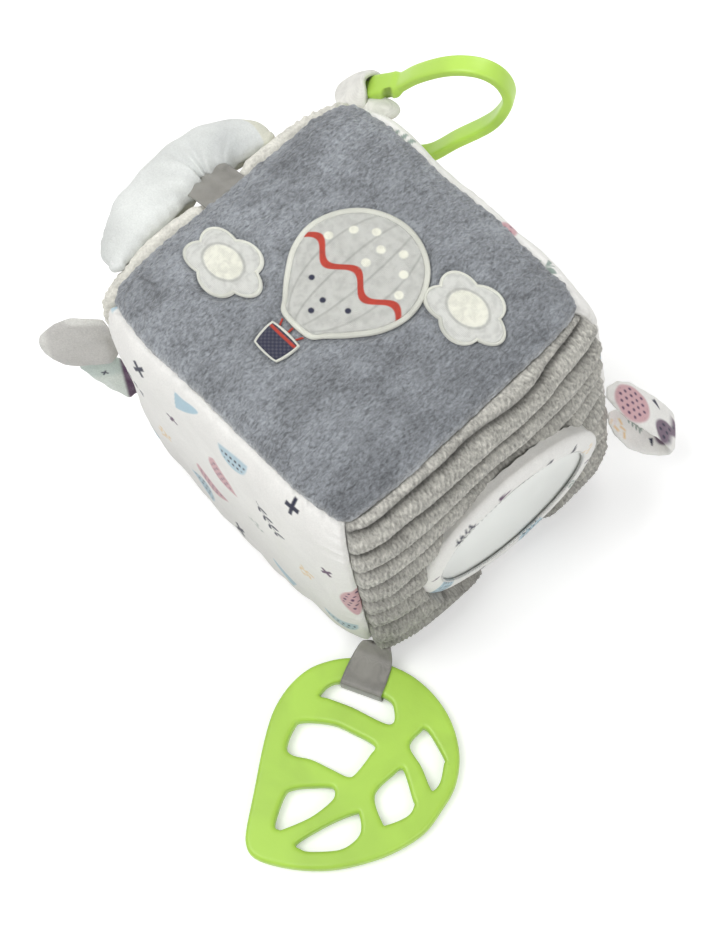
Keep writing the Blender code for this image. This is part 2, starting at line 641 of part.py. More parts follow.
def egg_curve(stations):
    """Stations along the ring's middle line: place, outward direction and distance from its start."""
    lean = (RING_LARGE_RADIUS - RING_SMALL_RADIUS) / RING_CENTRE_DISTANCE
    touch = math.acos(lean)
    straight = RING_CENTRE_DISTANCE * math.sin(touch)
    small_arc = 2 * touch * RING_SMALL_RADIUS
    large_arc = (2 * math.pi - 2 * touch) * RING_LARGE_RADIUS
    total = 2 * straight + small_arc + large_arc
    points = []
    for station in range(stations):
        run = total * station / stations
        if run < straight:
            angle, along = touch, run / straight
        elif run < straight + small_arc:
            angle, along = touch - (run - straight) / RING_SMALL_RADIUS, 1
        elif run < 2 * straight + small_arc:
            angle, along = -touch, 1 - (run - straight - small_arc) / straight
        else:
            angle, along = -touch - (run - 2 * straight - small_arc) / RING_LARGE_RADIUS, 0
        radius = RING_LARGE_RADIUS + (RING_SMALL_RADIUS - RING_LARGE_RADIUS) * along
        outward = (math.cos(angle), math.sin(angle))
        place = (RING_CENTRE_DISTANCE * along + radius * outward[0], radius * outward[1])
        points.append((place, outward, run))
    return points, touch, straight, total


def ring_axes():
    """Directions of the ring's plane: across it, along the egg, and sideways in the plane."""
    across = Vector((math.cos(RING_LEAN) * math.cos(RING_HEADING),
                     math.cos(RING_LEAN) * math.sin(RING_HEADING), math.sin(RING_LEAN)))
    level = UP.cross(across).normalized()
    rise = across.cross(level)
    along = level * math.cos(RING_ROLL) + rise * math.sin(RING_ROLL)
    return across, along, across.cross(along)


def build_hanger(root):
    """Cloth tab at the far left corner and the ring through it."""
    outward = -OUT_RIGHT
    seam = corner_point(-1, 1, TAB_ROOT_HEIGHT)
    root_place = seam + outward * ROOT_GAP
    bar = root_place + outward * TAB_REACH + ALONG * TAB_SIDE_SHIFT - UP * TAB_DROP
    across, along, sideways = ring_axes()
    stations, touch, straight, total = egg_curve(RING_STATIONS)
    tangent_2d = Vector((math.sin(touch), -math.cos(touch)))
    bar_along = RING_CENTRE_DISTANCE * RING_TAB_SHARE + math.cos(touch) * (
        RING_LARGE_RADIUS + (RING_SMALL_RADIUS - RING_LARGE_RADIUS) * RING_TAB_SHARE)
    bar_sideways = math.sin(touch) * (
        RING_LARGE_RADIUS + (RING_SMALL_RADIUS - RING_LARGE_RADIUS) * RING_TAB_SHARE)
    tangent = along * tangent_2d.x + sideways * tangent_2d.y

    fold = make_axis("tab_fold_axis", root_place, ALONG)
    swing = make_axis("ring_swing_axis", bar, tangent)
    away = bar - root_place
    reach = (away - tangent * away.dot(tangent)).normalized()
    over = tangent.cross(reach)
    start = over * (TAB_ROOT_LAYER / 2 + GAP / 2)
    root_over = ALONG.cross(away.normalized()).normalized()
    if root_over.dot(over) < 0:
        root_over = -root_over
    tie = root_over * (TAB_ROOT_LAYER / 2 + GAP / 2)
    pieces = []
    middle_width = (ALONG * TAB_ROOT_HALF_WIDTH + tangent * TAB_HALF_WIDTH) / 2
    for side in (1, -1):
        pieces.append((root_place + tie * side, ALONG * TAB_ROOT_HALF_WIDTH, root_over * side * TAB_ROOT_LAYER / 2))
        middle = root_place + away * 0.25 + (tie + start) * side
        pieces.append((middle, middle_width, (root_over + over).normalized() * side * TAB_ROOT_LAYER))
    first, last = pieces[:2], pieces[2:][::-1]
    loop = []
    for share in TAB_ANGLE_SHARES:
        angle = share * math.pi
        radial = reach * math.cos(angle) + over * math.sin(angle)
        loop.append((bar + radial * TAB_LOOP_RADIUS, tangent * TAB_HALF_WIDTH, radial * TAB_THICKNESS / 2))
    sections = [section(centre, wide, thick, STRIP_SECTION_SHARES) for centre, wide, thick in first + loop + last]
    verts, faces = loft(sections)
    make_object("hanging_tab", verts, faces, ((214, 213, 206), 0.95), origin=root_place, parent=fold)

    bar_run = straight * RING_TAB_SHARE
    sections = []
    for place, out, run in stations:
        centre = bar + along * (place[0] - bar_along) + sideways * (place[1] - bar_sideways)
        from_clasp = abs(run - bar_run - CLASP_START - CLASP_LENGTH / 2) / (CLASP_LENGTH / 2)
        swell = max(0, 1 - from_clasp ** 4)
        width = RING_BAND_WIDTH + (CLASP_WIDTH - RING_BAND_WIDTH) * swell
        thickness = RING_BAND_THICKNESS + (CLASP_THICKNESS - RING_BAND_THICKNESS) * swell
        radial = along * out[0] + sideways * out[1]
        sections.append(section(centre, across * width / 2, radial * thickness / 2, BAND_SECTION_SHARES))
    verts, faces = loft(sections, closed=True)
    make_object("hanging_ring", verts, faces, ((165, 220, 60), 0.4), origin=bar, parent=swing)


def build_teether(root):
    """Ribbon at the near bottom corner and the leaf it carries, which rests on the floor."""
    corner = block_point((1, -1, -1), 0)
    root_place = corner + OUT_RIGHT * ROOT_GAP
    rim = root_place + OUT_RIGHT * (RIBBON_REACH - ROOT_GAP)
    bar_rise = RIBBON_THICKNESS + 2 * GAP
    slot_u = SLOT_EDGE_SHARES[0] * LEAF_WIDTH
    slot_v = SLOT_EDGE_SHARES[1] * LEAF_LENGTH
    tilt = math.atan2(bar_rise, LEAF_LENGTH - slot_v / 2)
    fold_line = ALONG * math.cos(RIBBON_SLANT) + OUT_RIGHT * math.sin(RIBBON_SLANT)
    inward = ALONG * math.sin(RIBBON_SLANT) - OUT_RIGHT * math.cos(RIBBON_SLANT)

    base_rim = Vector((rim.x, rim.y, 0))
    slot_edge = base_rim + ALONG * (slot_u) + OUT_RIGHT * slot_v
    bar_width = slot_v / math.cos(RIBBON_SLANT)
    bar_centre = slot_edge + inward * bar_width / 2 + UP * (bar_rise + LEAF_THICKNESS / 2)
    fold = make_axis("ribbon_fold_axis", root_place, -ALONG)
    hinge = make_axis("leaf_tilt_axis", bar_centre, -fold_line)

    outline = [(x * LEAF_WIDTH, y * LEAF_LENGTH) for x, y in smooth_loop(LEAF_OUTLINE_SHARES, 2)]
    holes = [[(x * LEAF_WIDTH, y * LEAF_LENGTH) for x, y in smooth_loop(hole, 2)] for hole in LEAF_HOLE_SHARES]
    tilted = Matrix.Rotation(tilt, 3, -ALONG).inverted()
    verts, faces, bottoms, tops = [], [], [], []
    levels = [(share * LEAF_ROUNDING, inset * LEAF_ROUNDING) for share, inset in LEAF_EDGE_SHARES]
    levels += [(LEAF_THICKNESS - height, inset) for height, inset in reversed(levels)]
    for curve, side in [(outline, 1)] + [(hole, -1) for hole in holes]:
        count = len(curve)
        start = len(verts)
        for height, inset in levels:
            for u, v in inset_loop(curve, side * inset):
                flat = ALONG * u + OUT_RIGHT * v + UP * height - OUT_RIGHT * slot_v / 2
                place = base_rim + OUT_RIGHT * slot_v / 2 + UP * bar_rise
                verts.append(place + tilted @ flat)
        for level in range(len(levels) - 1):
            for step in range(count):
                here = start + level * count + step
                after = start + level * count + (step + 1) % count
                faces.append((here, after, after + count, here + count))
        bottoms.append(list(range(start, start + count)))
        tops.append(list(range(start + (len(levels) - 1) * count, start + len(levels) * count)))
    make_object("teether_leaf", verts, faces, ((165, 220, 60), 0.4), origin=bar_centre, parent=hinge,
                fill_loops=(bottoms, tops))

    half = RIBBON_THICKNESS / 2
    over_height = bar_rise + LEAF_THICKNESS + GAP + half
    under_height = half + GAP / 3
    wrap = GAP + half
    turn = LEAF_ROUNDING / 2
    side = fold_line * RIBBON_WIDTH / 2
    pinch = ALONG * RIBBON_PINCH_WIDTH / 2
    outer = -inward
    rim_point = slot_edge + inward * (bar_width - turn)
    path = [
        (root_place + UP * (half + GAP / 2), pinch, UP),
        (rim_point + UP * over_height, side * 0.8, UP),
        (slot_edge + inward * turn * 2 + UP * over_height, side, UP),
        (slot_edge + outer * wrap / 2 + UP * (over_height - turn / 2), side, (UP + outer).normalized()),
        (slot_edge + outer * wrap + UP * (over_height - 2 * turn), side, outer),
        (slot_edge + outer * wrap + UP * (under_height + 2 * turn), side, outer),
        (slot_edge + outer * wrap / 2 + UP * (under_height + turn / 2), side, (outer - UP).normalized()),
        (slot_edge + inward * turn * 2 + UP * under_height, side, -UP),
        (rim_point + UP * under_height, side * 0.8, -UP),
        (root_place - UP * (half + GAP / 2), pinch, -UP),
    ]
    sections = [section(centre, wide, normal * half, STRIP_SECTION_SHARES) for centre, wide, normal in path]
    verts, faces = loft(sections)
    make_object("teether_ribbon", verts, faces, ((128, 126, 120), 0.35), origin=root_place, parent=fold)


def build_moon(root):
    """Stuffed crescent of two cloth shells on a pleated ribbon from the top seam."""
    seam = block_point((-1, 0, 1), 0)
    off = Vector((-1, 0, 1)).normalized()
    root_place = seam + off * ROOT_GAP
    outward = Vector((-math.cos(MOON_FALL), 0, -math.sin(MOON_FALL)))
    across = Vector((0, 1, 0))
    raised = across.cross(outward)
    swing = make_axis("moon_swing_axis", root_place, across)
    line = [(along * MOON_LENGTH, MOON_STANDOFF + out * MOON_WIDTH, wide * MOON_WIDTH)
            for along, out, wide in MOON_SHARES]
    thickest = max(wide for along, out, wide in line)

    def stations(shrink, shares, lift, upper):
        made = []
        for index, (along, out, wide) in enumerate(line):
            before = line[max(index - 1, 0)]
            after = line[min(index + 1, len(line) - 1)]
            run = (across * (after[0] - before[0]) + outward * (after[1] - before[1])).normalized()
            sideways = run.cross(raised)
            centre = root_place + across * along + outward * out
            half_wide = max(wide - shrink, shrink / 3)
            half_thick = max(MOON_THICKNESS / 2 * (wide / thickest) ** 0.8 - shrink, shrink / 3)
            points = []
            for angle in shares:
                points.append(centre + sideways * half_wide * math.cos(angle)
                              + raised * (upper * half_thick * math.sin(angle) + lift))
            made.append(points)
        return made

    half_turn = [math.pi * step / MOON_ARC_STEPS for step in range(MOON_ARC_STEPS + 1)]
    whole_turn = [2 * math.pi * step / (2 * MOON_ARC_STEPS) for step in range(2 * MOON_ARC_STEPS)]
    for name, upper, colour in (("moon_front_shell", 1, (238, 238, 236)), ("moon_back_shell", -1, (214, 214, 196))):
        lift = upper * GAP / 2
        outer = stations(0, half_turn, lift, upper)
        inner = stations(MOON_CLOTH, half_turn, lift, upper)
        sections = [skin + lining[::-1] for skin, lining in zip(outer, inner)]
        verts, faces = loft(sections)
        make_object(name, verts, faces, (colour, 0.95), origin=root_place, parent=swing)
    filling = stations(MOON_CLOTH + GAP, whole_turn, 0, 1)
    verts, faces = loft(filling[1:-1])
    make_object("moon_filling", verts, faces, ((240, 240, 238), 0.95), origin=root_place, parent=swing)

    def inner_edge(along):
        for before, after in zip(line, line[1:]):
            if before[0] <= along <= after[0]:
                share = (along - before[0]) / (after[0] - before[0])
                return (before[1] - before[2]) * (1 - share) + (after[1] - after[2]) * share

    ends = (-MOON_RIBBON_END_WIDTH / 2, 0, MOON_RIBBON_END_WIDTH / 2)
    edge = min(inner_edge(along) for along in ends) - GAP
    half = RIBBON_THICKNESS / 2
    wide_root = across * RIBBON_WIDTH / 2
    wide_end = across * MOON_RIBBON_END_WIDTH / 2
    pleat = raised * MOON_RIBBON_PLEAT
    path = [
        (root_place, wide_root, raised * half),
        (root_place + outward * edge / 3 + pleat, (wide_root * 2 + wide_end) / 3, raised * half * 2),
        (root_place + outward * edge * 2 / 3 + pleat, (wide_root + wide_end * 2) / 3, raised * half * 3),
        (root_place + outward * edge, wide_end, raised * half * 3),
    ]
    sections = [section(centre, wide, thick, CLOTH_SECTION_SHARES) for centre, wide, thick in path]
    verts, faces = loft(sections)
    make_object("moon_ribbon", verts, faces, ((128, 126, 120), 0.35), origin=root_place, parent=swing)


def build_flap(name, axis_name, shares, reach, height, thickness, centre_height, lean, look):
    """A cloth flap sewn into the near left corner seam."""
    outward = -ALONG
    seam = corner_point(-1, -1, centre_height)
    root_place = seam + outward * ROOT_GAP
    swing = make_axis(axis_name, root_place, UP)
    upright = UP * math.cos(lean) - OUT_RIGHT * math.sin(lean)
    normal = outward.cross(upright)
    sections = []
    for out, drop, tall, thick in shares:
        centre = root_place + outward * out * reach - UP * drop * height
        half_thick = max(thick * thickness, ROOT_HALF_THICKNESS)
        if out == 0:
            points = []
            for across, over in CLOTH_SECTION_SHARES:
                at = centre.z + across * tall * height
                edge = corner_point(-1, -1, at) + outward * ROOT_GAP
                points.append(Vector((edge.x, edge.y, at)) + normal * over * half_thick)
            sections.append(points)
        else:
            sections.append(section(centre, upright * tall * height, normal * half_thick, CLOTH_SECTION_SHARES))
    verts, faces = loft(sections)
    make_object(name, verts, faces, look, origin=root_place, parent=swing)


def build_loop():
    """A printed cloth loop with both ends in the far right corner seam."""
    outward = ALONG
    across = -OUT_RIGHT
    line = [(out * LOOP_REACH, LOOP_BASE + high * LOOP_HEIGHT, wide * LOOP_WIDTH / 2)
            for out, high, wide in LOOP_SHARES]
    middle_height = (line[0][1] + line[-1][1]) / 2
    axis_place = corner_point(1, 1, middle_height) + outward * ROOT_GAP
    swing = make_axis("loop_swing_axis", axis_place, UP)
    sections = []
    for index, (out, high, wide) in enumerate(line):
        before = line[max(index - 1, 0)]
        after = line[min(index + 1, len(line) - 1)]
        run = (outward * (after[0] - before[0]) + UP * (after[1] - before[1])).normalized()
        normal = run.cross(across)
        at_root = index in (0, len(line) - 1)
        start = corner_point(1, 1, high) + outward * ROOT_GAP if at_root else axis_place
        centre = Vector((start.x, start.y, high)) + outward * out
        half_thick = ROOT_HALF_THICKNESS if at_root else LOOP_THICKNESS / 2
        sections.append(section(centre, across * wide, normal * half_thick, CLOTH_SECTION_SHARES))
    verts, faces = loft(sections)
    make_object("print_loop", verts, faces, ((240, 239, 235), 0.9), origin=axis_place, parent=swing)


def main():
    for old in list(bpy.data.objects):
        bpy.data.objects.remove(old, do_unlink=True)
    root = make_axis("block_origin", Vector((0, 0, 0)), UP)
    ribbed = build_block(root)
    build_mirror(root, ribbed)
    build_patches(root)
    build_hanger(root)
    build_teether(root)
    build_moon(root)
    build_flap("flap_upper_leaf", "flap_upper_axis", UPPER_FLAP_SHARES, UPPER_FLAP_REACH, UPPER_FLAP_HEIGHT,
               UPPER_FLAP_THICKNESS, UPPER_FLAP_CENTRE, UPPER_FLAP_LEAN, ((190, 188, 183), 0.95))
    build_flap("flap_lower_leaf", "flap_lower_axis", LOWER_FLAP_SHARES, LOWER_FLAP_REACH, LOWER_FLAP_HEIGHT,
               LOWER_FLAP_THICKNESS, LOWER_FLAP_CENTRE, LOWER_FLAP_LEAN, ((222, 226, 220), 0.95))
    build_loop()


main()
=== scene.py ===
"""Finishes the soft fabric block: sewn panels, patches, mirror, moon, flaps, loop, ring and teether."""
import math

import bmesh
import bpy
import numpy as np
from mathutils import Matrix, Vector


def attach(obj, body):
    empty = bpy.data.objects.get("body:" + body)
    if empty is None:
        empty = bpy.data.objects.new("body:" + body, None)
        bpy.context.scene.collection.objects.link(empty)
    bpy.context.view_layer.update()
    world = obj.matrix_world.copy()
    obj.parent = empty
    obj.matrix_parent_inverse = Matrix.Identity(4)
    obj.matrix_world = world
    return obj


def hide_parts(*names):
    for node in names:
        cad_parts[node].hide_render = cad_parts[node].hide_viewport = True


bl_info = {
    "name": "Soft fabric block",
    "version": (1, 0, 0),
    "blender": (4, 5, 0),
    "location": "View3D > Sidebar > Soft block",
    "description": "Dresses the soft fabric block in sewn cloth, plastic and a mirror",
    "category": "Object",
}

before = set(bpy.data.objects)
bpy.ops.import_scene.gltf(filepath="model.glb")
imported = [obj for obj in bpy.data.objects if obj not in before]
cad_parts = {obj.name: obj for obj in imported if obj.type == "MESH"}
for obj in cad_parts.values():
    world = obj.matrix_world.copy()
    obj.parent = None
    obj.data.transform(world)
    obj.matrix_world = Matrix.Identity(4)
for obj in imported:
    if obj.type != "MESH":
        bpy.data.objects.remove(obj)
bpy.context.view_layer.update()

MM = 0.001
DEG = math.pi / 180
FULL_TURN = 2 * math.pi
BLOCK_SPAN = 125
HALF_SPAN = 62.5
HALF_SIZE = np.array((HALF_SPAN, HALF_SPAN, 61.45)) * MM
CENTRE_HEIGHT = 60.95 * MM
CORNER_POWER = 6.6
SEAM_SHARE = 0.9936
SEAM_ALLOWANCE = 2.5 * MM
CORNER_PUSH_SHARES = (
    (-1, 1, -0.008, -0.030, -0.003, -0.001),
    (-1, -1, -0.035, 0.004, 0.002, 0.034),
    (1, -1, 0.011, 0.002, 0.006, 0.010),
    (1, 1, -0.008, -0.025, 0.034, 0.005),
)
ALONG = np.array((1, 1, 0)) / math.sqrt(2)
OUT_RIGHT = np.array((1, -1, 0)) / math.sqrt(2)
OUT_BACK = np.array((-1.0, 1.0, 0)) / math.sqrt(2)
UP = np.array((0.0, 0.0, 1.0))

# Sides of the block: the axis across each one, and its sign
TOP, BASE, FRONT, BACK, RIBBED, TERRY = (2, 1), (2, -1), (1, -1), (1, 1), (0, 1), (0, -1)

BALLOON_SHARES = (
    (0.0, 0.5), (0.19, 0.46), (0.35, 0.355), (0.46, 0.19), (0.5, 0.0), (0.45, -0.2),
    (0.33, -0.38), (0.21, -0.52), (0.12, -0.61), (-0.12, -0.61), (-0.21, -0.52),
    (-0.33, -0.38), (-0.45, -0.2), (-0.5, 0.0), (-0.46, 0.19), (-0.35, 0.355), (-0.19, 0.46),
)
BASKET_SHARES = (
    (0.5, 0.36), (0.38, 0.5), (-0.38, 0.5), (-0.5, 0.36),
    (-0.43, -0.36), (-0.3, -0.5), (0.3, -0.5), (0.43, -0.36),
)
BALLOON_SPAN, BALLOON_PLACE, BALLOON_STITCH = 42 * MM, (-2 * MM, 9 * MM), 1.9 * MM
BASKET_SPAN, BASKET_DROP, BASKET_STITCH = np.array((11, 8.5)) * MM, 9.5 * MM, 0.8 * MM
CLOUD_RADIUS, CLOUD_STRETCH, CLOUD_STITCH = 10.5 * MM, 1.35, 1.1 * MM
CLOUD_PLACES = ((-33 * MM, -19 * MM), (31 * MM, 24 * MM))
PATCH_LIFT, THIN_STITCH_HEIGHT = 0.95 * MM, 0.95 * MM

LEAF_LENGTH, LEAF_WIDTH, LEAF_THICKNESS, LEAF_ROUNDING = 73.8 * MM, 70.8 * MM, 4.6 * MM, 1.4 * MM
LEAF_SLOT_SHARE, LEAF_REACH = 0.155, 5.2 * MM
LEAF_OUTLINE = (
    (-0.12, 0.00), (-0.22, 0.015), (-0.32, 0.055), (-0.405, 0.13), (-0.465, 0.22), (-0.50, 0.31),
    (-0.53, 0.45), (-0.56, 0.65), (-0.585, 0.81), (-0.585, 0.885), (-0.555, 0.94), (-0.475, 0.975),
    (-0.33, 1.00), (-0.18, 1.00), (-0.03, 0.97), (0.12, 0.915), (0.26, 0.825), (0.345, 0.71),
    (0.40, 0.61), (0.42, 0.49), (0.405, 0.38), (0.36, 0.27), (0.285, 0.17), (0.19, 0.09),
    (0.09, 0.04), (-0.01, 0.01),
)
LEAF_HOLES = (
    ((-0.26, 0.18), (-0.17, 0.12), (0.05, 0.19), (0.10, 0.25), (0.08, 0.32), (-0.10, 0.24), (-0.21, 0.20)),
    ((-0.41, 0.43), (-0.38, 0.34), (-0.34, 0.31), (-0.20, 0.32), (-0.10, 0.36), (0.01, 0.42),
     (-0.01, 0.47), (-0.07, 0.55), (-0.11, 0.57), (-0.20, 0.53), (-0.29, 0.49), (-0.38, 0.47)),
    ((-0.45, 0.79), (-0.41, 0.66), (-0.37, 0.63), (-0.28, 0.62), (-0.19, 0.62), (-0.17, 0.65),
     (-0.19, 0.69), (-0.28, 0.76), (-0.39, 0.81), (-0.43, 0.82)),
    ((-0.34, 0.88), (-0.19, 0.79), (-0.07, 0.74), (-0.05, 0.75), (-0.04, 0.82), (-0.07, 0.87),
     (-0.14, 0.91), (-0.27, 0.92), (-0.32, 0.91)),
    ((0.02, 0.65), (0.11, 0.55), (0.14, 0.53), (0.16, 0.55), (0.20, 0.67), (0.21, 0.70),
     (0.18, 0.75), (0.09, 0.79), (0.06, 0.78)),
    ((0.18, 0.42), (0.23, 0.35), (0.25, 0.34), (0.28, 0.37), (0.345, 0.48), (0.345, 0.51),
     (0.33, 0.59), (0.30, 0.63), (0.28, 0.61), (0.24, 0.52)),
)
MOON_LINE = (
    (-41.3, 5.9, 3.0), (-37.6, 9.6, 6.2), (-32.4, 13.3, 8.7), (-25.4, 16.7, 10.6), (-17.0, 19.3, 11.6),
    (-8.4, 21.2, 11.8), (0.0, 22.4, 11.1), (7.2, 21.2, 11.2), (13.2, 17.8, 10.5), (17.8, 13.6, 9.0),
    (21.6, 9.2, 6.1), (23.4, 5.5, 2.8),
)
MOON_FALL = 25 * DEG
MOON_THICKNESS, MOON_HALF_WIDTH = 7.4, 11.8
MOON_RIBBON_REACH, MOON_RIBBON_HALF_WIDTH = 13.0 * MM, 8.2 * MM
RING_LINE = (
    (12.6, 9.1), (19.7, 17.1), (28.0, 23.7), (35.3, 27.0), (42.2, 27.3), (47.6, 23.8), (50.4, 17.0),
    (49.8, 9.2), (44.2, -3.6), (31.5, -18.9), (21.7, -31.0), (13.4, -34.4), (4.9, -32.2), (-2.6, -26.0),
    (-6.2, -17.2), (-5.2, -8.3), (-1.1, -1.0), (5.6, 4.5),
)
TAB_ROOT = np.array((-56.755, 52.776, 104.999)) * MM
RING_BAR = np.array((-61.139, 61.120, 101.399)) * MM
RING_TANGENT = np.array((0.58239, 0.38298, 0.71705))
RING_NORMAL = np.array((0.534, -0.845, 0.018))

MIRROR_SEAT = np.array(Matrix.Translation((62.8 * MM, 4.3 * MM, 45 * MM)) @ Matrix.Rotation(-3 * DEG, 4, "Z")
                       @ Matrix.Rotation(math.pi / 2 + 6 * DEG, 4, "Y"))
MIRROR_RING_OUTER = 38.5
MIRROR_RING_PROFILE = (
    (37.8, -2.6), (38.0, 0.0), (MIRROR_RING_OUTER, 0.7), (38.4, 1.6), (38.0, 2.4), (37.3, 2.9), (36.4, 3.3),
    (35.3, 3.6), (34.3, 3.8), (33.4, 3.85), (32.6, 3.8), (31.9, 3.65), (31.3, 3.4), (30.9, 3.15), (30.7, 2.9),
    (31.6, 2.74),
)

PICTURE_HEIGHT, FOCAL_LENGTH = 928, 2500
CAMERA_PLACE = (0.30572, -0.19970, 0.81712)
CAMERA_AHEAD = Vector((-0.34315, 0.21425, -0.91452))
CAMERA_UP = Vector((-0.64796, 0.65088, 0.39562))


def screen(red, green, blue):
    """Turn a screen colour from 0 to 255 into linear light."""
    return tuple(v / 255 / 12.92 if v <= 10 else ((v / 255 + 0.055) / 1.055) ** 2.4 for v in (red, green, blue))


WHITE = screen(238, 237, 233)
PINK = screen(206, 160, 166)
PLUM = screen(92, 62, 92)
NAVY = screen(44, 46, 66)
BLUE = screen(176, 202, 214)
YELLOW = screen(232, 196, 128)
SAGE = screen(150, 164, 156)
MINT = screen(188, 202, 196)
BRICK = screen(178, 62, 48)
CREAM = screen(226, 226, 212)


# Sizes and colours that a user would change

class SoftBlockColours(bpy.types.PropertyGroup):
    plush: bpy.props.FloatVectorProperty(
        name="Plush", description="Grey of the deep plush on top", subtype="COLOR", size=3, min=0, max=1,
        default=screen(137, 141, 146))
    ribs: bpy.props.FloatVectorProperty(
        name="Ribs", description="Warm grey of the ribbed knit", subtype="COLOR", size=3, min=0, max=1,
        default=screen(198, 196, 188))
    terry: bpy.props.FloatVectorProperty(
        name="Terry", description="Cream of the looped side cloth", subtype="COLOR", size=3, min=0, max=1,
        default=screen(226, 224, 214))
    patch: bpy.props.FloatVectorProperty(
        name="Patch", description="Cloth of the balloon patch", subtype="COLOR", size=3, min=0, max=1,
        default=screen(190, 191, 186))
    lime: bpy.props.FloatVectorProperty(
        name="Lime", description="Plastic of the ring and the teether", subtype="COLOR", size=3, min=0, max=1,
        default=screen(170, 210, 78))
    satin: bpy.props.FloatVectorProperty(
        name="Satin", description="Grey of the satin ribbons", subtype="COLOR", size=3, min=0, max=1,
        default=screen(128, 126, 120))
    flap: bpy.props.FloatVectorProperty(
        name="Flap", description="Velour of the upper flap", subtype="COLOR", size=3, min=0, max=1,
        default=screen(192, 190, 186))


class SoftBlockSizes(bpy.types.PropertyGroup):
    pucker: bpy.props.FloatProperty(
        name="Pucker", description="Depth of the gathers beside each seam", unit="LENGTH", min=0, max=0.002,
        default=0.00042)
    seam: bpy.props.FloatProperty(
        name="Seam", description="How far the cloth rolls in at a seam", unit="LENGTH", min=0, max=0.002,
        default=0.0011)
    lumps: bpy.props.FloatProperty(
        name="Lumps", description="Height of the lumps that the stuffing makes", unit="LENGTH", min=0,
        max=0.003, default=0.0006)
    groove: bpy.props.FloatProperty(
        name="Groove", description="Depth of the grooves between the ribs", unit="LENGTH", min=0, max=0.0024,
        default=0.0021)
    stitch: bpy.props.FloatProperty(
        name="Stitch", description="Height of the satin stitching round a patch", unit="LENGTH", min=0,
        max=0.003, default=0.0011)


# Nodes

def socket(tree, name, direction, kind, value=None):
    made = tree.interface.new_socket(name=name, in_out=direction, socket_type=kind)
    if value is not None:
        made.default_value = value


def add(tree, kind, **values):
    node = tree.nodes.new(kind)
    for key, value in values.items():
        if key.startswith("in_"):
            node.inputs[key[3:].replace("_", " ")].default_value = value
        else:
            setattr(node, key, value)
    return node


def feed(tree, value, place):
    """Set a node's input to a number, or link another node's output to it."""
    if isinstance(value, (int, float)):
        place.default_value = value
    else:
        tree.links.new(value, place)


def math_node(tree, operation, first, second):
    node = add(tree, "ShaderNodeMath", operation=operation)
    feed(tree, first, node.inputs[0])
    feed(tree, second, node.inputs[1])
    return node.outputs[0]


def weighted(tree, first, first_share, second, second_share):
    """The sum of two values, each times its share."""
    return math_node(tree, "ADD", math_node(tree, "MULTIPLY", first, first_share),
                     math_node(tree, "MULTIPLY", second, second_share))


def noise_node(tree, vector, scale, detail=2.0, distortion=0.0, roughness=0.5):
    node = add(tree, "ShaderNodeTexNoise", in_Detail=detail, in_Distortion=distortion, in_Roughness=roughness)
    tree.links.new(vector, node.inputs["Vector"])
    feed(tree, scale, node.inputs["Scale"])
    return node.outputs["Fac"]


def range_node(tree, value, low, high, made_low, made_high):
    """Spread the values from low to high over another range."""
    node = add(tree, "ShaderNodeMapRange", in_From_Min=low, in_From_Max=high, in_To_Min=made_low,
               in_To_Max=made_high)
    tree.links.new(value, node.inputs["Value"])
    return node.outputs[0]


def bump_node(tree, height, shader, distance, strength):
    relief = add(tree, "ShaderNodeBump", in_Distance=distance, in_Strength=strength)
    tree.links.new(height, relief.inputs["Height"])
    tree.links.new(relief.outputs["Normal"], shader.inputs["Normal"])


def group_of(name, inputs, fill):
    """The node group of that name, built once: a Vector and the named values in, a height and a tone out."""
    if name in bpy.data.node_groups:
        return bpy.data.node_groups[name]
    tree = bpy.data.node_groups.new(name, "ShaderNodeTree")
    socket(tree, "Vector", "INPUT", "NodeSocketVector")
    for label, value in inputs:
        kind = "NodeSocketVector" if isinstance(value, tuple) else "NodeSocketFloat"
        socket(tree, label, "INPUT", kind, value)
    socket(tree, "Height", "OUTPUT", "NodeSocketFloat")
    socket(tree, "Tone", "OUTPUT", "NodeSocketFloat")
    source, out = tree.nodes.new("NodeGroupInput"), tree.nodes.new("NodeGroupOutput")
    height, tone = fill(tree, source.outputs)
    tree.links.new(height, out.inputs["Height"])
    tree.links.new(tone, out.inputs["Tone"])
    return tree


def pile_group():
    """Brushed pile: fine tufts, strokes of the nap and broad swirls."""
    def fill(tree, source):
        laid = add(tree, "ShaderNodeVectorMath", operation="MULTIPLY")
        tree.links.new(source["Vector"], laid.inputs[0])
        tree.links.new(source["Nap"], laid.inputs[1])
        tuft = noise_node(tree, laid.outputs[0], source["Tuft"], 2, 0.3)
        stroke = noise_node(tree, laid.outputs[0], source["Stroke"], 3, 1.6, 0.6)
        swirl = noise_node(tree, laid.outputs[0], source["Swirl"], 3, 1.2)
        broad = weighted(tree, stroke, 0.55, swirl, 0.45)
        return weighted(tree, tuft, 0.45, stroke, 0.8), weighted(tree, broad, 0.6, tuft, 0.4)

    inputs = (("Tuft", 1500.0), ("Stroke", 420.0), ("Swirl", 55.0), ("Nap", (1.0, 1.0, 1.0)))
    return group_of("Pile", inputs, fill)


def weave_group():
    """Knitted or woven cloth: three crossing thread directions broken up by noise."""
    def fill(tree, source):
        threads = None
        for direction in ("X", "Y", "Z"):
            wave = add(tree, "ShaderNodeTexWave", wave_type="BANDS", bands_direction=direction,
                       in_Distortion=1.4, in_Detail=1.0, in_Detail_Scale=1.5)
            tree.links.new(source["Vector"], wave.inputs["Vector"])
            tree.links.new(source["Threads"], wave.inputs["Scale"])
            wave = wave.outputs["Fac"]
            threads = wave if threads is None else math_node(tree, "ADD", threads, wave)
        slub = noise_node(tree, source["Vector"], source["Slub"], 3, 0.4)
        height = weighted(tree, threads, 0.22, slub, 0.5)
        return height, weighted(tree, height, 0.5, slub, 0.5)

    return group_of("Weave", (("Threads", 900.0), ("Slub", 260.0)), fill)


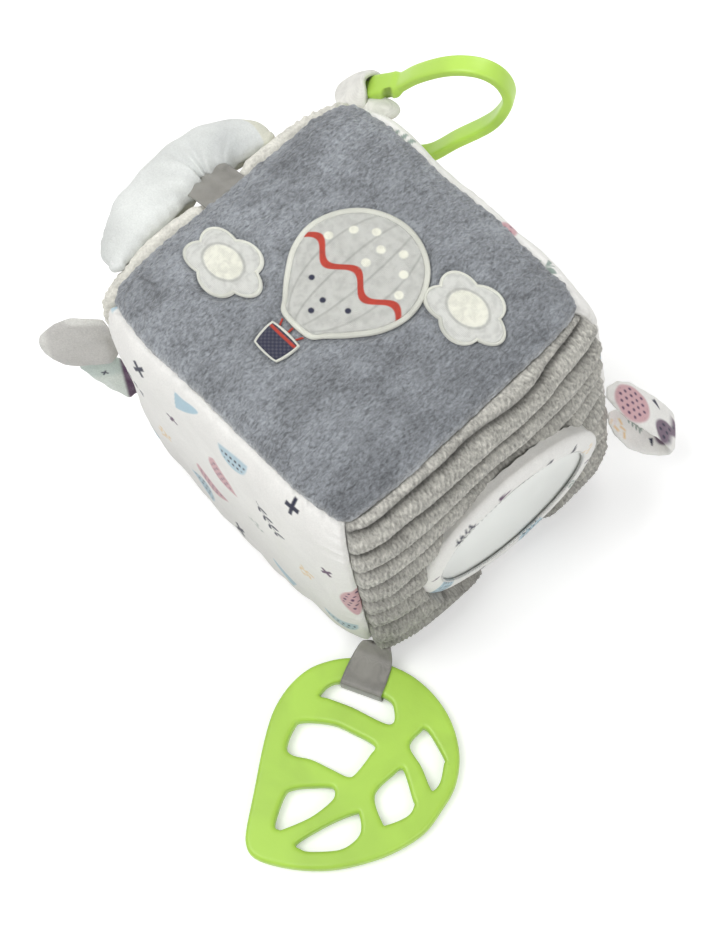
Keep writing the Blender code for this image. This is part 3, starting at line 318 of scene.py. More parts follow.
def grain_group():
    """Moulded surface: faint orange peel, flow marks and handling marks."""
    def fill(tree, source):
        fine = noise_node(tree, source["Vector"], source["Grain"], 2)
        flow = noise_node(tree, source["Vector"], source["Flow"], 3, 0.8)
        return weighted(tree, fine, 0.3, flow, 0.7), flow

    return group_of("Moulded grain", (("Grain", 900.0), ("Flow", 35.0)), fill)


def new_look(name):
    """A new material with its node tree and its shader."""
    made = bpy.data.materials.new(name)
    made.use_nodes = True
    return made, made.node_tree, made.node_tree.nodes["Principled BSDF"]


def finish_material(name, group, colour=None, values=(), low=0.8, high=1.12, roughness=0.9, bump=0.3 * MM,
                    sheen=0.0, soft=0.0, rough_spread=0.08):
    """A finish that reads its colour from the piece or from one value, varied and bumped by a group."""
    made, tree, shader = new_look(name)
    place = add(tree, "ShaderNodeTexCoord")
    grouped = add(tree, "ShaderNodeGroup", node_tree=group)
    for label, value in values:
        grouped.inputs[label].default_value = value
    tree.links.new(place.outputs["Object"], grouped.inputs["Vector"])
    tone = grouped.outputs["Tone"]
    mix = add(tree, "ShaderNodeMix", data_type="RGBA", blend_type="MULTIPLY")
    mix.inputs[0].default_value = 1.0
    if colour is None:
        tint = add(tree, "ShaderNodeAttribute", attribute_type="GEOMETRY", attribute_name="tint")
        tree.links.new(tint.outputs["Color"], mix.inputs[6])
        made.diffuse_color = (*WHITE, 1)
    else:
        mix.inputs[6].default_value = (*colour, 1)
        made.diffuse_color = (*colour, 1)
    tree.links.new(range_node(tree, tone, 0.38, 0.62, low, high), mix.inputs[7])
    tree.links.new(mix.outputs[2], shader.inputs["Base Color"])
    rough = range_node(tree, tone, 0.3, 0.7, roughness - rough_spread, min(roughness + rough_spread, 1))
    tree.links.new(rough, shader.inputs["Roughness"])
    shader.inputs["Sheen Weight"].default_value = sheen
    shader.inputs["Sheen Roughness"].default_value = 0.5
    shader.inputs["Subsurface Weight"].default_value = soft
    shader.inputs["Subsurface Radius"].default_value = (0.004, 0.004, 0.002)
    bump_node(tree, grouped.outputs["Height"], shader, bump, 0.8)
    return made


def pile_look(name, tuft, stroke, swirl, low, high, roughness, bump, sheen, nap=(1.0, 1.0, 1.0)):
    """Painted pile or velour, with the sizes of its tufts, strokes and swirls."""
    return finish_material(name, pile_group(), None,
                           (("Tuft", tuft), ("Stroke", stroke), ("Swirl", swirl), ("Nap", nap)),
                           low, high, roughness, bump, sheen=sheen)


# Shapes

def on_form(direction):
    """Where directions of the unit cube meet the block's rounded form, in shares of its half sizes."""
    return direction / ((np.abs(direction) ** CORNER_POWER).sum(axis=1) ** (1 / CORNER_POWER))[:, None]


def skin(direction, depth):
    """Points of the stuffed block's skin, from directions of the unit cube and depths under it."""
    share = on_form(direction)
    place = share * (HALF_SIZE[None] - np.broadcast_to(depth, len(share))[:, None])
    place[:, 2] += CENTRE_HEIGHT
    rise = (1 + share[:, 2]) / 2
    for side_x, side_y, top_x, top_y, low_x, low_y in CORNER_PUSH_SHARES:
        weight = (1 + side_x * share[:, 0]) / 2 * (1 + side_y * share[:, 1]) / 2
        place[:, 0] += weight * (rise * top_x + (1 - rise) * low_x) * BLOCK_SPAN * MM
        place[:, 1] += weight * (rise * top_y + (1 - rise) * low_y) * BLOCK_SPAN * MM
    place[:, 2] = np.maximum(place[:, 2], np.maximum(depth, 0))
    return place


def skin_point(*direction):
    return skin(np.array([direction], dtype=float), 0.0)[0]


def corner_seam(side_x, side_y, height):
    """The point of a vertical corner seam at a height."""
    heights = np.linspace(-1, 1, 801)
    line = skin(np.stack((np.full(801, side_x), np.full(801, side_y), heights), axis=1), 0.0)
    nearest = int(np.abs(line[:, 2] - height).argmin())
    return line[nearest]


def top_points(x, y, lift):
    """Points over the plush top, from their places in plan."""
    qx, qy = x / HALF_SIZE[0], y / HALF_SIZE[1]
    qz = (1 - np.abs(qx) ** CORNER_POWER - np.abs(qy) ** CORNER_POWER) ** (1 / CORNER_POWER)
    return skin(np.stack((qx, qy, qz), axis=1), -lift)


def at_mirror(local):
    """Points of the mirror's own frame, moved to their place on the ribbed side."""
    return local @ MIRROR_SEAT[:3, :3].T + MIRROR_SEAT[:3, 3]


def lumps(points, size, seed):
    """Smooth uneven waves between about -1 and 1, of the given size."""
    spin = np.random.RandomState(seed)
    total = np.zeros(len(points))
    for _ in range(7):
        way = spin.normal(size=3)
        way *= spin.uniform(0.7, 1.4) / np.linalg.norm(way) * FULL_TURN / size
        total += np.sin(points @ way + spin.uniform(0, FULL_TURN))
    return total / 3.2


def ease(value, low, high):
    share = np.clip((value - low) / (high - low), 0, 1)
    return share * share * (3 - 2 * share)


def hump(value, width, middle=0.0):
    """1 at the middle, falling away smoothly over the width."""
    return np.exp(-((value - middle) / width) ** 2)


def bent(value, power):
    """The value raised to a power, with its sign kept."""
    return np.sign(value) * np.abs(value) ** power


def circle(count):
    return np.linspace(0, FULL_TURN, count, endpoint=False)


def placed(name, data):
    made = bpy.data.objects.new(name, data)
    bpy.context.scene.collection.objects.link(made)
    return made


def make_piece(name, verts, faces, look, tint=None):
    mesh = bpy.data.meshes.new(name)
    mesh.from_pydata([tuple(v) for v in np.asarray(verts).tolist()], [], [tuple(f) for f in faces])
    mesh.validate()
    bm = bmesh.new()
    bm.from_mesh(mesh)
    bmesh.ops.recalc_face_normals(bm, faces=bm.faces)
    bm.to_mesh(mesh)
    bm.free()
    mesh.shade_smooth()
    piece = placed(name, mesh)
    mesh.materials.append(look)
    if tint is not None:
        paint(piece, tint)
    return piece


def fitted(piece, body, *nodes, fill=None):
    """Put the piece in the place of its solids, on the body that carries them; fill is not used."""
    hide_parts(*nodes)
    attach(piece, body)
    return piece


def paint(piece, colours):
    """Store one colour for each vertex."""
    mesh = piece.data
    layer = mesh.color_attributes.new("tint", "FLOAT_COLOR", "POINT")
    flat = np.ones((len(mesh.vertices), 4), dtype=np.float32)
    flat[:, :3] = colours
    layer.data.foreach_set("color", flat.ravel())


def vertex_values(vertices, kind):
    flat = np.empty(len(vertices) * 3, dtype=np.float32)
    vertices.foreach_get(kind, flat)
    return flat.reshape(-1, 3).astype(float)


def move_out(piece, points, amount):
    """Move the piece's points along its surface directions."""
    way = vertex_values(piece.data.vertex_normals, "vector")
    piece.data.vertices.foreach_set("co", (points + way * amount[:, None]).astype(np.float32).ravel())
    piece.data.update()


def grid_faces(rows, columns, start=0, wrap=False):
    faces = []
    for row in range(rows - 1):
        for column in range(columns if wrap else columns - 1):
            after = (column + 1) % columns
            faces.append((start + row * columns + column, start + row * columns + after,
                          start + (row + 1) * columns + after, start + (row + 1) * columns + column))
    return faces


def tube_faces(rings, count):
    """Faces of a tube through the rings, closed at both ends."""
    last = (rings - 1) * count
    return grid_faces(rings, count, wrap=True) + [tuple(range(count)), tuple(range(last, last + count))]


def softened(name, node, voxel, rounds, look):
    """One smooth closed form over a solid."""
    mesh = bpy.data.meshes.new(name)
    bm = bmesh.new()
    bm.from_mesh(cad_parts[node].data)
    bmesh.ops.remove_doubles(bm, verts=bm.verts, dist=0.00001)
    bm.to_mesh(mesh)
    bm.free()
    piece = placed(name, mesh)
    remesh = piece.modifiers.new("remesh", "REMESH")
    remesh.mode = "VOXEL"
    remesh.voxel_size = voxel
    smooth = piece.modifiers.new("smooth", "SMOOTH")
    smooth.factor = 0.5
    smooth.iterations = rounds
    graph = bpy.context.evaluated_depsgraph_get()
    formed = bpy.data.meshes.new_from_object(piece.evaluated_get(graph))
    piece.modifiers.clear()
    piece.data = formed
    formed.name = name
    formed.materials.clear()
    formed.materials.append(look)
    formed.shade_smooth()
    if len(formed.vertices) < 50:
        raise RuntimeError(name + " came out empty")
    return piece


# Printed motifs, in millimetres of the cloth

def blend_in(colours, mask, colour):
    colours += (np.array(colour)[None] - colours) * np.clip(mask, 0, 1)[:, None]


def edge(distance, soft=0.22):
    return ease(-distance, -soft, soft)


def turned(u, v, centre, angle):
    du, dv = u - centre[0], v - centre[1]
    cos, sin = math.cos(angle * DEG), math.sin(angle * DEG)
    return du * cos + dv * sin, -du * sin + dv * cos


def dotted_disc(colours, u, v, centre, radius, ground, dot, angle=0, half=False):
    """A pale round or half-round spot filled with small dots."""
    x, y = turned(u, v, centre, angle)
    inside = np.hypot(x, y) - radius
    if half:
        inside = np.maximum(inside, -y)
    blend_in(colours, edge(inside, 0.5) * 0.9, ground)
    pitch, dot_radius = 2.1, 0.5
    row = np.round(y / pitch)
    px = (x + (row % 2) * pitch / 2)
    px = px - np.round(px / pitch) * pitch
    py = y - row * pitch
    blend_in(colours, edge(np.hypot(px, py) - dot_radius) * edge(inside + 0.8), dot)


def half_disc(colours, u, v, centre, radius, ground, dot, angle):
    dotted_disc(colours, u, v, centre, radius, ground, dot, angle, half=True)


def cross_mark(colours, u, v, centre, size, colour, angle=0):
    x, y = turned(u, v, centre, angle)
    bar = np.minimum(np.maximum(np.abs(x) - size, np.abs(y) - size * 0.26),
                     np.maximum(np.abs(y) - size, np.abs(x) - size * 0.26))
    blend_in(colours, edge(bar), colour)


def sprig(colours, u, v, centre, size, colour, angle=0):
    """A short stem with paired leaves."""
    x, y = turned(u, v, centre, angle)
    stem = np.maximum(np.abs(y) - 0.22, np.abs(x) - size)
    blend_in(colours, edge(stem), colour)
    for step in (-0.55, -0.1, 0.35, 0.8):
        for side in (-1, 1):
            lx, ly = turned(x, y, (size * step, side * size * 0.24), side * 52)
            leaf = np.hypot(lx / 1.0, ly / 0.42) - size * 0.24
            blend_in(colours, edge(leaf), colour)


def drop(colours, u, v, centre, size, colour, angle=0):
    x, y = turned(u, v, centre, angle)
    wide = size * 0.5 * np.clip(1 - (x / size), 0, 2) ** 0.6
    blend_in(colours, edge(np.maximum(np.abs(y) - wide * 0.62, np.abs(x) - size)), colour)


def dashes(colours, u, v, centre, count, colour, angle=0):
    """A loose cluster of short strokes."""
    for step in range(count):
        shift = (centre[0] + 2.6 * math.cos(2.4 * step) * (0.4 + step / count),
                 centre[1] + 2.6 * math.sin(2.4 * step) * (0.4 + step / count))
        x, y = turned(u, v, shift, angle + 25 * step)
        blend_in(colours, edge(np.maximum(np.abs(y) - 0.4, np.abs(x) - 1.0), 0.4) * 0.85, colour)


def scattered_print(seed, shift):
    """An all-over layout of the motifs on uneven rows, in millimetres."""
    spin = np.random.RandomState(seed)
    left, bottom, column_pitch, row_pitch, stray = -60, 4, 24, 19, 3
    pink = (half_disc, 8.0, PINK, PLUM)
    motifs = []
    for row in range(7):
        kinds = (pink, (cross_mark, 2.8, NAVY), (dashes, 9, YELLOW), (sprig, 7.2, NAVY if row % 2 else SAGE),
                 (drop, 5.6, BLUE), pink, (cross_mark, 2.4, PLUM), (half_disc, 6.6, BLUE, NAVY),
                 (dashes, 6, SAGE))
        for column in range(6):
            centre = (left + column_pitch * column + column_pitch / 2 * (row % 2) + spin.uniform(-stray, stray),
                      bottom + row_pitch * row + spin.uniform(-stray, stray))
            motif, *values = kinds[(row * 4 + column * 3 + shift) % len(kinds)]
            motifs.append((motif, centre, *values, spin.uniform(0, 360)))
    return motifs


def plain_cloth(colour, count):
    return np.repeat(np.array(colour)[None], count, axis=0)


def print_cloth(u, v, motifs, ground=WHITE):
    """Colours of a printed cloth at the given places, in millimetres."""
    colours = plain_cloth(ground, len(u))
    for motif, *values in motifs:
        motif(colours, u, v, *values)
    return colours


# Panels of the block

def seam_shape(points, a, b, sizes, seed, gather=1.0):
    """Depth of the cloth under the plain skin: rolled in at the seams, gathered beside them, lumpy between."""
    depth = np.zeros(len(a))
    for across, beside in ((a, b), (b, a)):
        away = (1 - np.abs(across)) * HALF_SPAN * MM
        run = beside * HALF_SPAN + 2.6 * np.sin(beside * 11 + seed)
        strength = 0.55 + 0.45 * np.sin(beside * 7.3 + 2 * seed)
        wave = strength * (np.sin(run * FULL_TURN / 6.9 + seed + 3 * np.sin(run / 11))
                           + 0.5 * np.sin(run * FULL_TURN / 4.1 + 2 * np.sin(run / 5)))
        depth += sizes.seam * hump(away, 2.1 * MM)
        depth += gather * sizes.pucker * wave * np.exp(-away / (5.5 * MM)) * ease(away, 0, 1.2 * MM)
    depth += sizes.lumps * lumps(points, 42 * MM, seed) + 0.3 * sizes.lumps * lumps(points, 15 * MM, seed + 9)
    return np.maximum(depth, -1.5 * MM)


def panel_piece(name, node, side, cells, look, sizes, seed, relief=None, colour=None, settle=None, press=None,
                gather=1.0):
    """A fine sewn panel with its seam allowance turned in all round."""
    rows, columns = cells
    crowd = math.pi / 2 * 0.82
    across = np.sin(np.linspace(-1, 1, columns) * crowd) / math.sin(crowd) * SEAM_SHARE
    b, a = [m.ravel() for m in np.meshgrid(np.linspace(-1, 1, rows) * SEAM_SHARE, across, indexing="ij")]
    axis, sign = side
    direction = np.insert(np.stack((a, b), axis=1), axis, sign, axis=1)
    flat = skin(direction, 0.0)
    depth = seam_shape(flat, a, b, sizes, seed, gather)
    if relief is not None:
        depth = depth + relief(flat, a, b)
    if press is not None:
        depth = depth + press(on_form(direction) * HALF_SIZE) * np.maximum(0.15 * MM - depth, 0)
    points = skin(direction, np.clip(depth, -2.2 * MM, 2.3 * MM))
    if settle is not None:
        points = settle(points)
    start = len(points)
    ring = list(range(columns)) + [row * columns + columns - 1 for row in range(1, rows)]
    ring += [start - 1 - step for step in range(1, columns)] + [row * columns for row in range(rows - 2, 0, -1)]
    count = len(ring)
    faces = grid_faces(rows, columns)
    for step in range(count):
        after = (step + 1) % count
        faces.append((ring[step], ring[after], start + after, start + step))
    tint = None
    if colour is not None:
        tint = colour(flat, a, b, depth)
        tint = np.vstack((tint, tint[ring]))
    points = np.vstack((points, skin(direction[ring], SEAM_ALLOWANCE)))
    return fitted(make_piece(name, points, faces, look, tint), "block", node, fill=0.8)


def from_seam(a, b):
    """Distance from the nearest seam, in millimetres."""
    return (1 - np.maximum(np.abs(a), np.abs(b))) * HALF_SPAN


def rib_wave(p):
    """How many ribs lie under each point: they swing a little and gather towards the front corner."""
    y, z = p[:, 1] / MM, p[:, 2] / MM
    swing = 0.9 * np.sin(y / 13.0 + 0.6) + 0.6 * np.sin(y / 6.1 + z / 20) + 0.9 * lumps(p, 30 * MM, 41)
    gather = 1 + 0.16 * ease(-y, 20, 62) * (1 - ease(z, 0, 60))
    rib_pitch, first_rib = 13.0, 5.8
    return ((z + swing) * gather + first_rib) / rib_pitch


def rib_crest(p):
    return np.abs(np.sin(math.pi * rib_wave(p))) ** 0.62


def knit(p):
    """Short uneven stitches that run across each rib."""
    y, z = p[:, 1] / MM, p[:, 2] / MM
    row = np.round(rib_wave(p) * 2)
    stitch_pitch = 2.1
    sway = 2.4 * np.sin(z * 0.7 + row * 2.1) + 1.7 * np.sin(y / 5 + row)
    even_row = np.sin(y * FULL_TURN / stitch_pitch + sway)
    return 0.4 * even_row + 0.8 * lumps(p * (1, 1.5, 0.65), 1.9 * MM, 43)


def under_mirror(points):
    """The ribs are pressed flat where the mirror's ring sits on them."""
    seat, normal = MIRROR_SEAT[:3, 3], MIRROR_SEAT[:3, 2]
    away = points - seat
    height = away @ normal
    radius = np.linalg.norm(away - height[:, None] * normal, axis=1) / MM
    under_ring = 1 - ease(radius, MIRROR_RING_OUTER - 0.9, MIRROR_RING_OUTER + 0.2)
    pressed = under_ring * np.maximum(height + 0.3 * MM, 0)
    near = np.abs(height) < 20 * MM
    return points - (pressed * near)[:, None] * normal


def under_patches(plan):
    """The pile lies flat where the patches are sewn down."""
    near = np.full(len(plan), 9.0)
    for centre, outline, stitch in patch_plan():
        near = np.minimum(near, (beyond(outline, *(plan[:, :2] - centre).T) - stitch) / MM)
    return 1 - ease(near, 0.5, 2.4)


def terry_relief(p, a, b):
    """Small loops on a bulge below the top seam, pressed down by the moon's ribbon and low beside the flaps."""
    held = ease(p[:, 2], 95 * MM, 106 * MM) * (1 - ease(np.abs(p[:, 1]), 8 * MM, 12 * MM))
    bulge = 1.9 * MM * ease(p[:, 2], 60 * MM, 108 * MM) * (0.3 + 0.7 * ease(p[:, 1], -55 * MM, -30 * MM))
    return (1 - 0.55 * held) * (0.25 * MM * lumps(p, 2.6 * MM, 37) - bulge)


class SOFTBLOCK_OT_panels(bpy.types.Operator):
    """Sew the six panels of the block"""
    bl_idname = "softblock.panels"
    bl_label = "Panels"

    def execute(self, context):
        colours, sizes = context.scene.softblock_colours, context.scene.softblock_sizes
        plush_look = pile_look("Plush pile", 1300.0, 700.0, 75.0, 0.5, 1.4, 0.95, 1.3 * MM, 0.3,
                               (1.0, 0.5, 0.8))
        print_look = pile_look("Printed velour", 2200.0, 900.0, 70.0, 0.93, 1.04, 0.92, 0.22 * MM, 0.15)
        terry_look = pile_look("Looped terry", 1100.0, 620.0, 60.0, 0.8, 1.12, 0.94, 0.8 * MM, 0.2)
        rib_look = pile_look("Ribbed knit", 1400.0, 900.0, 120.0, 0.6, 1.28, 0.94, 1.2 * MM, 0.15,
                             (0.6, 1.0, 0.45))

        def plush_relief(p, a, b):
            return 0.24 * MM * lumps(p, 3.1 * MM, 31) + 0.1 * MM * lumps(p, 1.7 * MM, 33) - 0.7 * MM

        def plush_colour(p, a, b, depth):
            """Swirls of the nap, painted shade along a creased corner and towards the right, painted light towards the
            back, and a painted highlight along the seams.
            """
            swirl = lumps(p, 30 * MM, 5) + 0.6 * lumps(p, 13 * MM, 6)
            made = np.array(colours.plush)[None] * (0.97 + 0.13 * swirl[:, None])
            # Painted shade: the tint darkens along the crease lines near the left corner.
            crease = np.array(((-51.3, -49.6), (-54.2, -41.9), (-45.4, -39.8)))
            for start, finish in zip(crease, crease[1:]):
                line = finish - start
                share = np.clip(((p[:, :2] / MM - start) @ line) / (line @ line), 0, 1)
                apart = np.linalg.norm(p[:, :2] / MM - start - share[:, None] * line, axis=1)
                made *= (1 - 0.35 * hump(apart, 0.7))[:, None]
            # Painted shade towards the right and painted light towards the far back corner.
            right, far = ease(p[:, 0], 0, 55 * MM), ease(p[:, 1] - p[:, 0], 35 * MM, 100 * MM)
            made *= (1 - 0.13 * right + 0.08 * far)[:, None]
            # Painted highlight: a pale rim of lit fuzz along the rolled seams.
            seam_highlight = (0.7 * hump(from_seam(a, b), 2.8))[:, None]
            return made * (1 - seam_highlight) + np.array(screen(194, 197, 200))[None] * seam_highlight

        def front_colour(p, a, b, depth):
            stretch = 1.35
            made = print_cloth(p[:, 0] / MM, p[:, 2] / MM / stretch, scattered_print(4, 0))
            # Painted shade: the print grows darker towards the bottom of the front.
            return made * (0.74 + 0.26 * ease(p[:, 2], 5 * MM, 85 * MM))[:, None]

        def back_colour(p, a, b, depth):
            return print_cloth(p[:, 0] / MM, p[:, 2] / MM, scattered_print(9, 3))

        def terry_colour(p, a, b, depth):
            return np.array(colours.terry)[None] * (1 + 0.05 * lumps(p, 9 * MM, 8)[:, None])

        def base_colour(p, a, b, depth):
            return plain_cloth(colours.ribs, len(a))

        def rib_relief(p, a, b):
            crest = rib_crest(p)
            by_loop = ease(p[:, 1], 46 * MM, 58 * MM) * (1 - ease(np.abs(p[:, 2] - 43 * MM), 14 * MM, 24 * MM))
            high = 1.5 * MM * (1 - 0.85 * by_loop)
            made = sizes.groove * (1 - crest) - high * crest + 0.22 * MM * knit(p) * crest
            return made * (0.3 + 0.7 * ease(from_seam(a, b), 0.6, 5))

        def rib_colour(p, a, b, depth):
            # Painted shade: darker in the grooves between the ribs and towards the low front corner.
            shade = 0.36 + 0.62 * ease(rib_crest(p), 0.05, 0.85)
            shade *= 0.58 + 0.36 * ease(p[:, 2] / MM + 0.4 * p[:, 1] / MM, -14, 75)
            return np.array(colours.ribs)[None] * (shade * (1 - 0.2 * knit(p)))[:, None]

        panel_piece("plush_top", "top_plush_panel", TOP, (260, 260), plush_look, sizes, 3, relief=plush_relief,
                    colour=plush_colour, press=under_patches, gather=0.08)
        panel_piece("printed_front", "front_print_panel", FRONT, (320, 320), print_look, sizes, 11,
                    colour=front_colour)
        panel_piece("printed_back", "back_print_panel", BACK, (260, 260), print_look, sizes, 17,
                    colour=back_colour)
        panel_piece("terry_side", "textured_side_panel", TERRY, (160, 160), terry_look, sizes, 23,
                    relief=terry_relief, colour=terry_colour)
        panel_piece("base_cloth", "base_panel", BASE, (90, 90), terry_look, sizes, 29, colour=base_colour)
        panel_piece("ribbed_side", "ribbed_side_panel", RIBBED, (300, 400), rib_look, sizes, 7,
                    relief=rib_relief, colour=rib_colour, settle=under_mirror, gather=0.6)
        return {"FINISHED"}


# Patches on the plush

def spline(p, q, r, s, t):
    """The place at share t of the way from q to r on a smooth curve through four points."""
    return 0.5 * (2 * q + (r - p) * t + (2 * p - 5 * q + 4 * r - s) * t * t + (3 * q - p - 3 * r + s) * t ** 3)


def closed_curve(points, steps):
    """A smooth closed curve through the points."""
    points = np.array(points)
    made = []
    for index in range(len(points)):
        around = [points[(index + step) % len(points)] for step in (-1, 0, 1, 2)]
        made += [spline(*around, t) for t in np.arange(steps) / steps]
    return np.array(made)


def smooth_line(values, where):
    """A smooth open curve through rows of values, at the given places along them."""
    values = np.asarray(values, dtype=float)
    last = len(values) - 1
    made = []
    for t in where:
        k = min(int(t), last - 1)
        made.append(spline(values[max(k - 1, 0)], values[k], values[k + 1], values[min(k + 2, last)], t - k))
    return np.array(made)


def even(curve, count):
    """The same closed curve with evenly spaced points."""
    closed = np.vstack((curve, curve[:1]))
    steps = np.concatenate(([0], np.cumsum(np.linalg.norm(np.diff(closed, axis=0), axis=1))))
    where = np.linspace(0, steps[-1], count, endpoint=False)
    return np.stack([np.interp(where, steps, closed[:, axis]) for axis in range(curve.shape[1])], axis=1)


def beyond(outline, x, y):
    """How far places lie outside an outline that runs round the origin."""
    angle = np.arctan2(outline[:, 1], outline[:, 0])
    reach = np.interp(np.arctan2(y, x), angle, np.hypot(outline[:, 0], outline[:, 1]), period=FULL_TURN)
    return np.hypot(x, y) - reach


def patch_plan():
    """Centre, outline and width of the stitching of the balloon, the basket and the two clouds."""
    balloon = closed_curve(BALLOON_SHARES, 8) * BALLOON_SPAN
    basket_place = (BALLOON_PLACE[0], BALLOON_PLACE[1] + balloon[:, 1].min() - BASKET_DROP)
    angle = circle(180)
    reach = CLOUD_RADIUS * (1 - 0.24 * (1 - np.abs(np.cos(2.5 * angle))))
    cloud = np.stack((reach * np.cos(angle) * CLOUD_STRETCH, reach * np.sin(angle)), axis=1)
    return ((BALLOON_PLACE, balloon, BALLOON_STITCH),
            (basket_place, closed_curve(BASKET_SHARES, 10) * BASKET_SPAN, BASKET_STITCH),
            *((place, cloud, CLOUD_STITCH) for place in CLOUD_PLACES))


def patch_piece(name, node, centre, outline, rings, colour, look, dome):
    """A cloth patch that follows the plush, padded a little in its middle."""
    count = len(outline)
    shares = np.concatenate(((1.015, 1.0), np.linspace(0.97, 0.04, rings)))
    points, flat = [], []
    for index, share in enumerate(shares):
        xy = outline * min(share, 1.0)
        lift = PATCH_LIFT + dome * (1 - share ** 4) if index else -0.3 * MM
        points.append(top_points(centre[0] + xy[:, 0], centre[1] + xy[:, 1], lift))
        flat.append(xy)
    verts = np.vstack(points + [top_points(*np.array(centre)[:, None], PATCH_LIFT + dome)])
    flat = np.vstack(flat + [np.zeros((1, 2))])
    last = (len(shares) - 1) * count
    faces = grid_faces(len(shares), count, wrap=True)
    faces += [(last + step, last + (step + 1) % count, len(verts) - 1) for step in range(count)]
    verts[:, 2] += 0.06 * MM * lumps(verts, 4 * MM, 51)
    fitted(make_piece(name, verts, faces, look, colour(flat[:, 0] / MM, flat[:, 1] / MM)), "block", node)


def stitched_border(name, centre, outline, width, height, look):
    """A band of satin stitch that overlaps the patch's edge: a rounded ridge made of threads laid across it."""
    count = len(outline)
    run = np.linalg.norm(outline, axis=1)
    section = ((0.0, 0.0), (0.08, 0.62), (0.3, 0.92), (0.5, 1.0), (0.7, 0.92), (0.92, 0.62), (1.0, 0.0))
    thread_steps, overlap, foot = 4, 0.2 * MM, 0.35 * MM
    ridge = np.where(np.arange(count) % thread_steps < thread_steps / 2, 1.0, 0.82)
    rows = []
    for across, over in section:
        reach = 1 + (across * (width + overlap) - overlap) / run
        rows.append(top_points(centre[0] + outline[:, 0] * reach, centre[1] + outline[:, 1] * reach,
                               foot + over * height * ridge))
    piece = make_piece(name, np.vstack(rows), grid_faces(len(section), count, wrap=True), look)
    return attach(piece, "block")


def thread_look(name, colour, low=0.85, high=1.08, roughness=0.55, sheen=0.2):
    return finish_material(name, grain_group(), colour, (("Grain", 2600.0),), low, high, roughness, 0.15 * MM,
                           sheen=sheen)


def spots(colours, x, y, places, radius, colour):
    for spot_x, spot_y in places:
        blend_in(colours, edge(np.hypot(x - spot_x, y - spot_y) - radius), colour)


def basket_colour(x, y):
    """Navy wickerwork with a red band."""
    made = plain_cloth(NAVY, len(x))
    pitch = 1.7
    weave = np.sin(x * FULL_TURN / pitch) * np.sin(y * FULL_TURN / pitch)
    blend_in(made, edge(-weave * 0.5 + 0.1, 0.3) * 0.35, screen(110, 108, 116))
    blend_in(made, edge(np.abs(y - 3.2) - 0.5), BRICK)
    return made


def cloud_colour(x, y):
    """Grey with a cream middle inside a darker line."""
    made = plain_cloth(screen(204, 205, 200), len(x))
    away = np.hypot(x / CLOUD_STRETCH, y)
    blend_in(made, edge(away - 5.2) * 0.9, CREAM)
    blend_in(made, edge(np.abs(away - 5.6) - 0.35) * 0.7, screen(168, 169, 163))
    return made


def basket_rope(name, start, finish, look):
    """A thin twisted cord laid on the plush, from the balloon to its basket."""
    rows, corners = 60, 8
    line = start[None] + (finish - start)[None] * np.linspace(0, 1, rows)[:, None]
    twist = 0.35 * MM * (1 + 0.18 * np.sin(np.arange(rows) * 1.6))
    sections = []
    for turn in circle(corners):
        side = line[:, 0] + twist * math.cos(turn)
        rise = UP[None] * (twist * (0.6 + math.sin(turn)))[:, None]
        sections.append(top_points(side, line[:, 1], 0.25 * MM) + rise)
    verts = np.stack(sections, axis=1).reshape(-1, 3)
    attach(make_piece(name, verts, grid_faces(rows, corners, wrap=True), look), "block")


class SOFTBLOCK_OT_patches(bpy.types.Operator):
    """Sew the balloon, its basket and the clouds on the plush"""
    bl_idname = "softblock.patches"
    bl_label = "Patches"

    def execute(self, context):
        colours, sizes = context.scene.softblock_colours, context.scene.softblock_sizes
        felt = finish_material("Patch cloth", weave_group(), None, (("Threads", 700.0), ("Slub", 420.0)),
                               0.86, 1.08, 0.9, 0.3 * MM, sheen=0.12)
        thread = thread_look("Stitching thread", screen(214, 215, 205))
        red_thread = thread_look("Red thread", BRICK, 0.8, 1.15, 0.5)
        (centre, balloon, stitch), (basket_centre, basket, thin), left_cloud, right_cloud = patch_plan()

        def balloon_colour(x, y):
            """Seam lines, a red swag, and cream spots above it and navy ones below."""
            made = plain_cloth(colours.patch, len(x))
            for share in (-0.62, -0.22, 0.22, 0.62):
                line = x - share * 21 * np.sqrt(np.clip(1 - (y / 27) ** 2, 0.05, 1))
                blend_in(made, edge(np.abs(line) - 0.35) * 0.55, screen(150, 151, 146))
            swag = np.abs(y - (-3.0 + 2.6 * np.cos(x / 42 * FULL_TURN * 2.5))) - 1.3
            blend_in(made, edge(swag), BRICK)
            spots(made, x, y, ((-11, 9), (-5.5, 13.5), (0, 10), (6, 14), (11, 9), (-15, 2), (15, 3), (0, 3.5)),
                  1.5, CREAM)
            spots(made, x, y, ((-8, -12), (0, -15), (8, -12), (0, -20)), 1.0, NAVY)
            return made

        patch_piece("balloon", "balloon_patch", centre, even(balloon, 420), 70, balloon_colour, felt, 0.9 * MM)
        border = stitched_border("balloon_stitching", centre, even(balloon, 1600), stitch, sizes.stitch, thread)
        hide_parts("balloon_stitch_border")
        patch_piece("basket", "basket_patch", basket_centre, even(basket, 160), 24, basket_colour, felt,
                    0.5 * MM)
        stitched_border("basket_stitching", basket_centre, even(basket, 380), thin, THIN_STITCH_HEIGHT, thread)
        low = centre[1] + balloon[:, 1].min()
        for name, shift in (("left", -1), ("middle", 0), ("right", 1)):
            start = np.array((centre[0] + shift * 4.6 * MM, low - 2.3 * MM))
            finish = np.array((basket_centre[0] + shift * 3.6 * MM, basket_centre[1] + 5.0 * MM))
            basket_rope("basket_rope_" + name, start, finish, red_thread)
        for name, (place, cloud, width) in (("left", left_cloud), ("right", right_cloud)):
            patch_piece("cloud_" + name, "cloud_patch_" + name, place, cloud, 30, cloud_colour, felt, 0.6 * MM)
            stitched_border("cloud_stitching_" + name, place, even(cloud, 800), width, THIN_STITCH_HEIGHT,
                            thread)
        return {"FINISHED"}


# Mirror

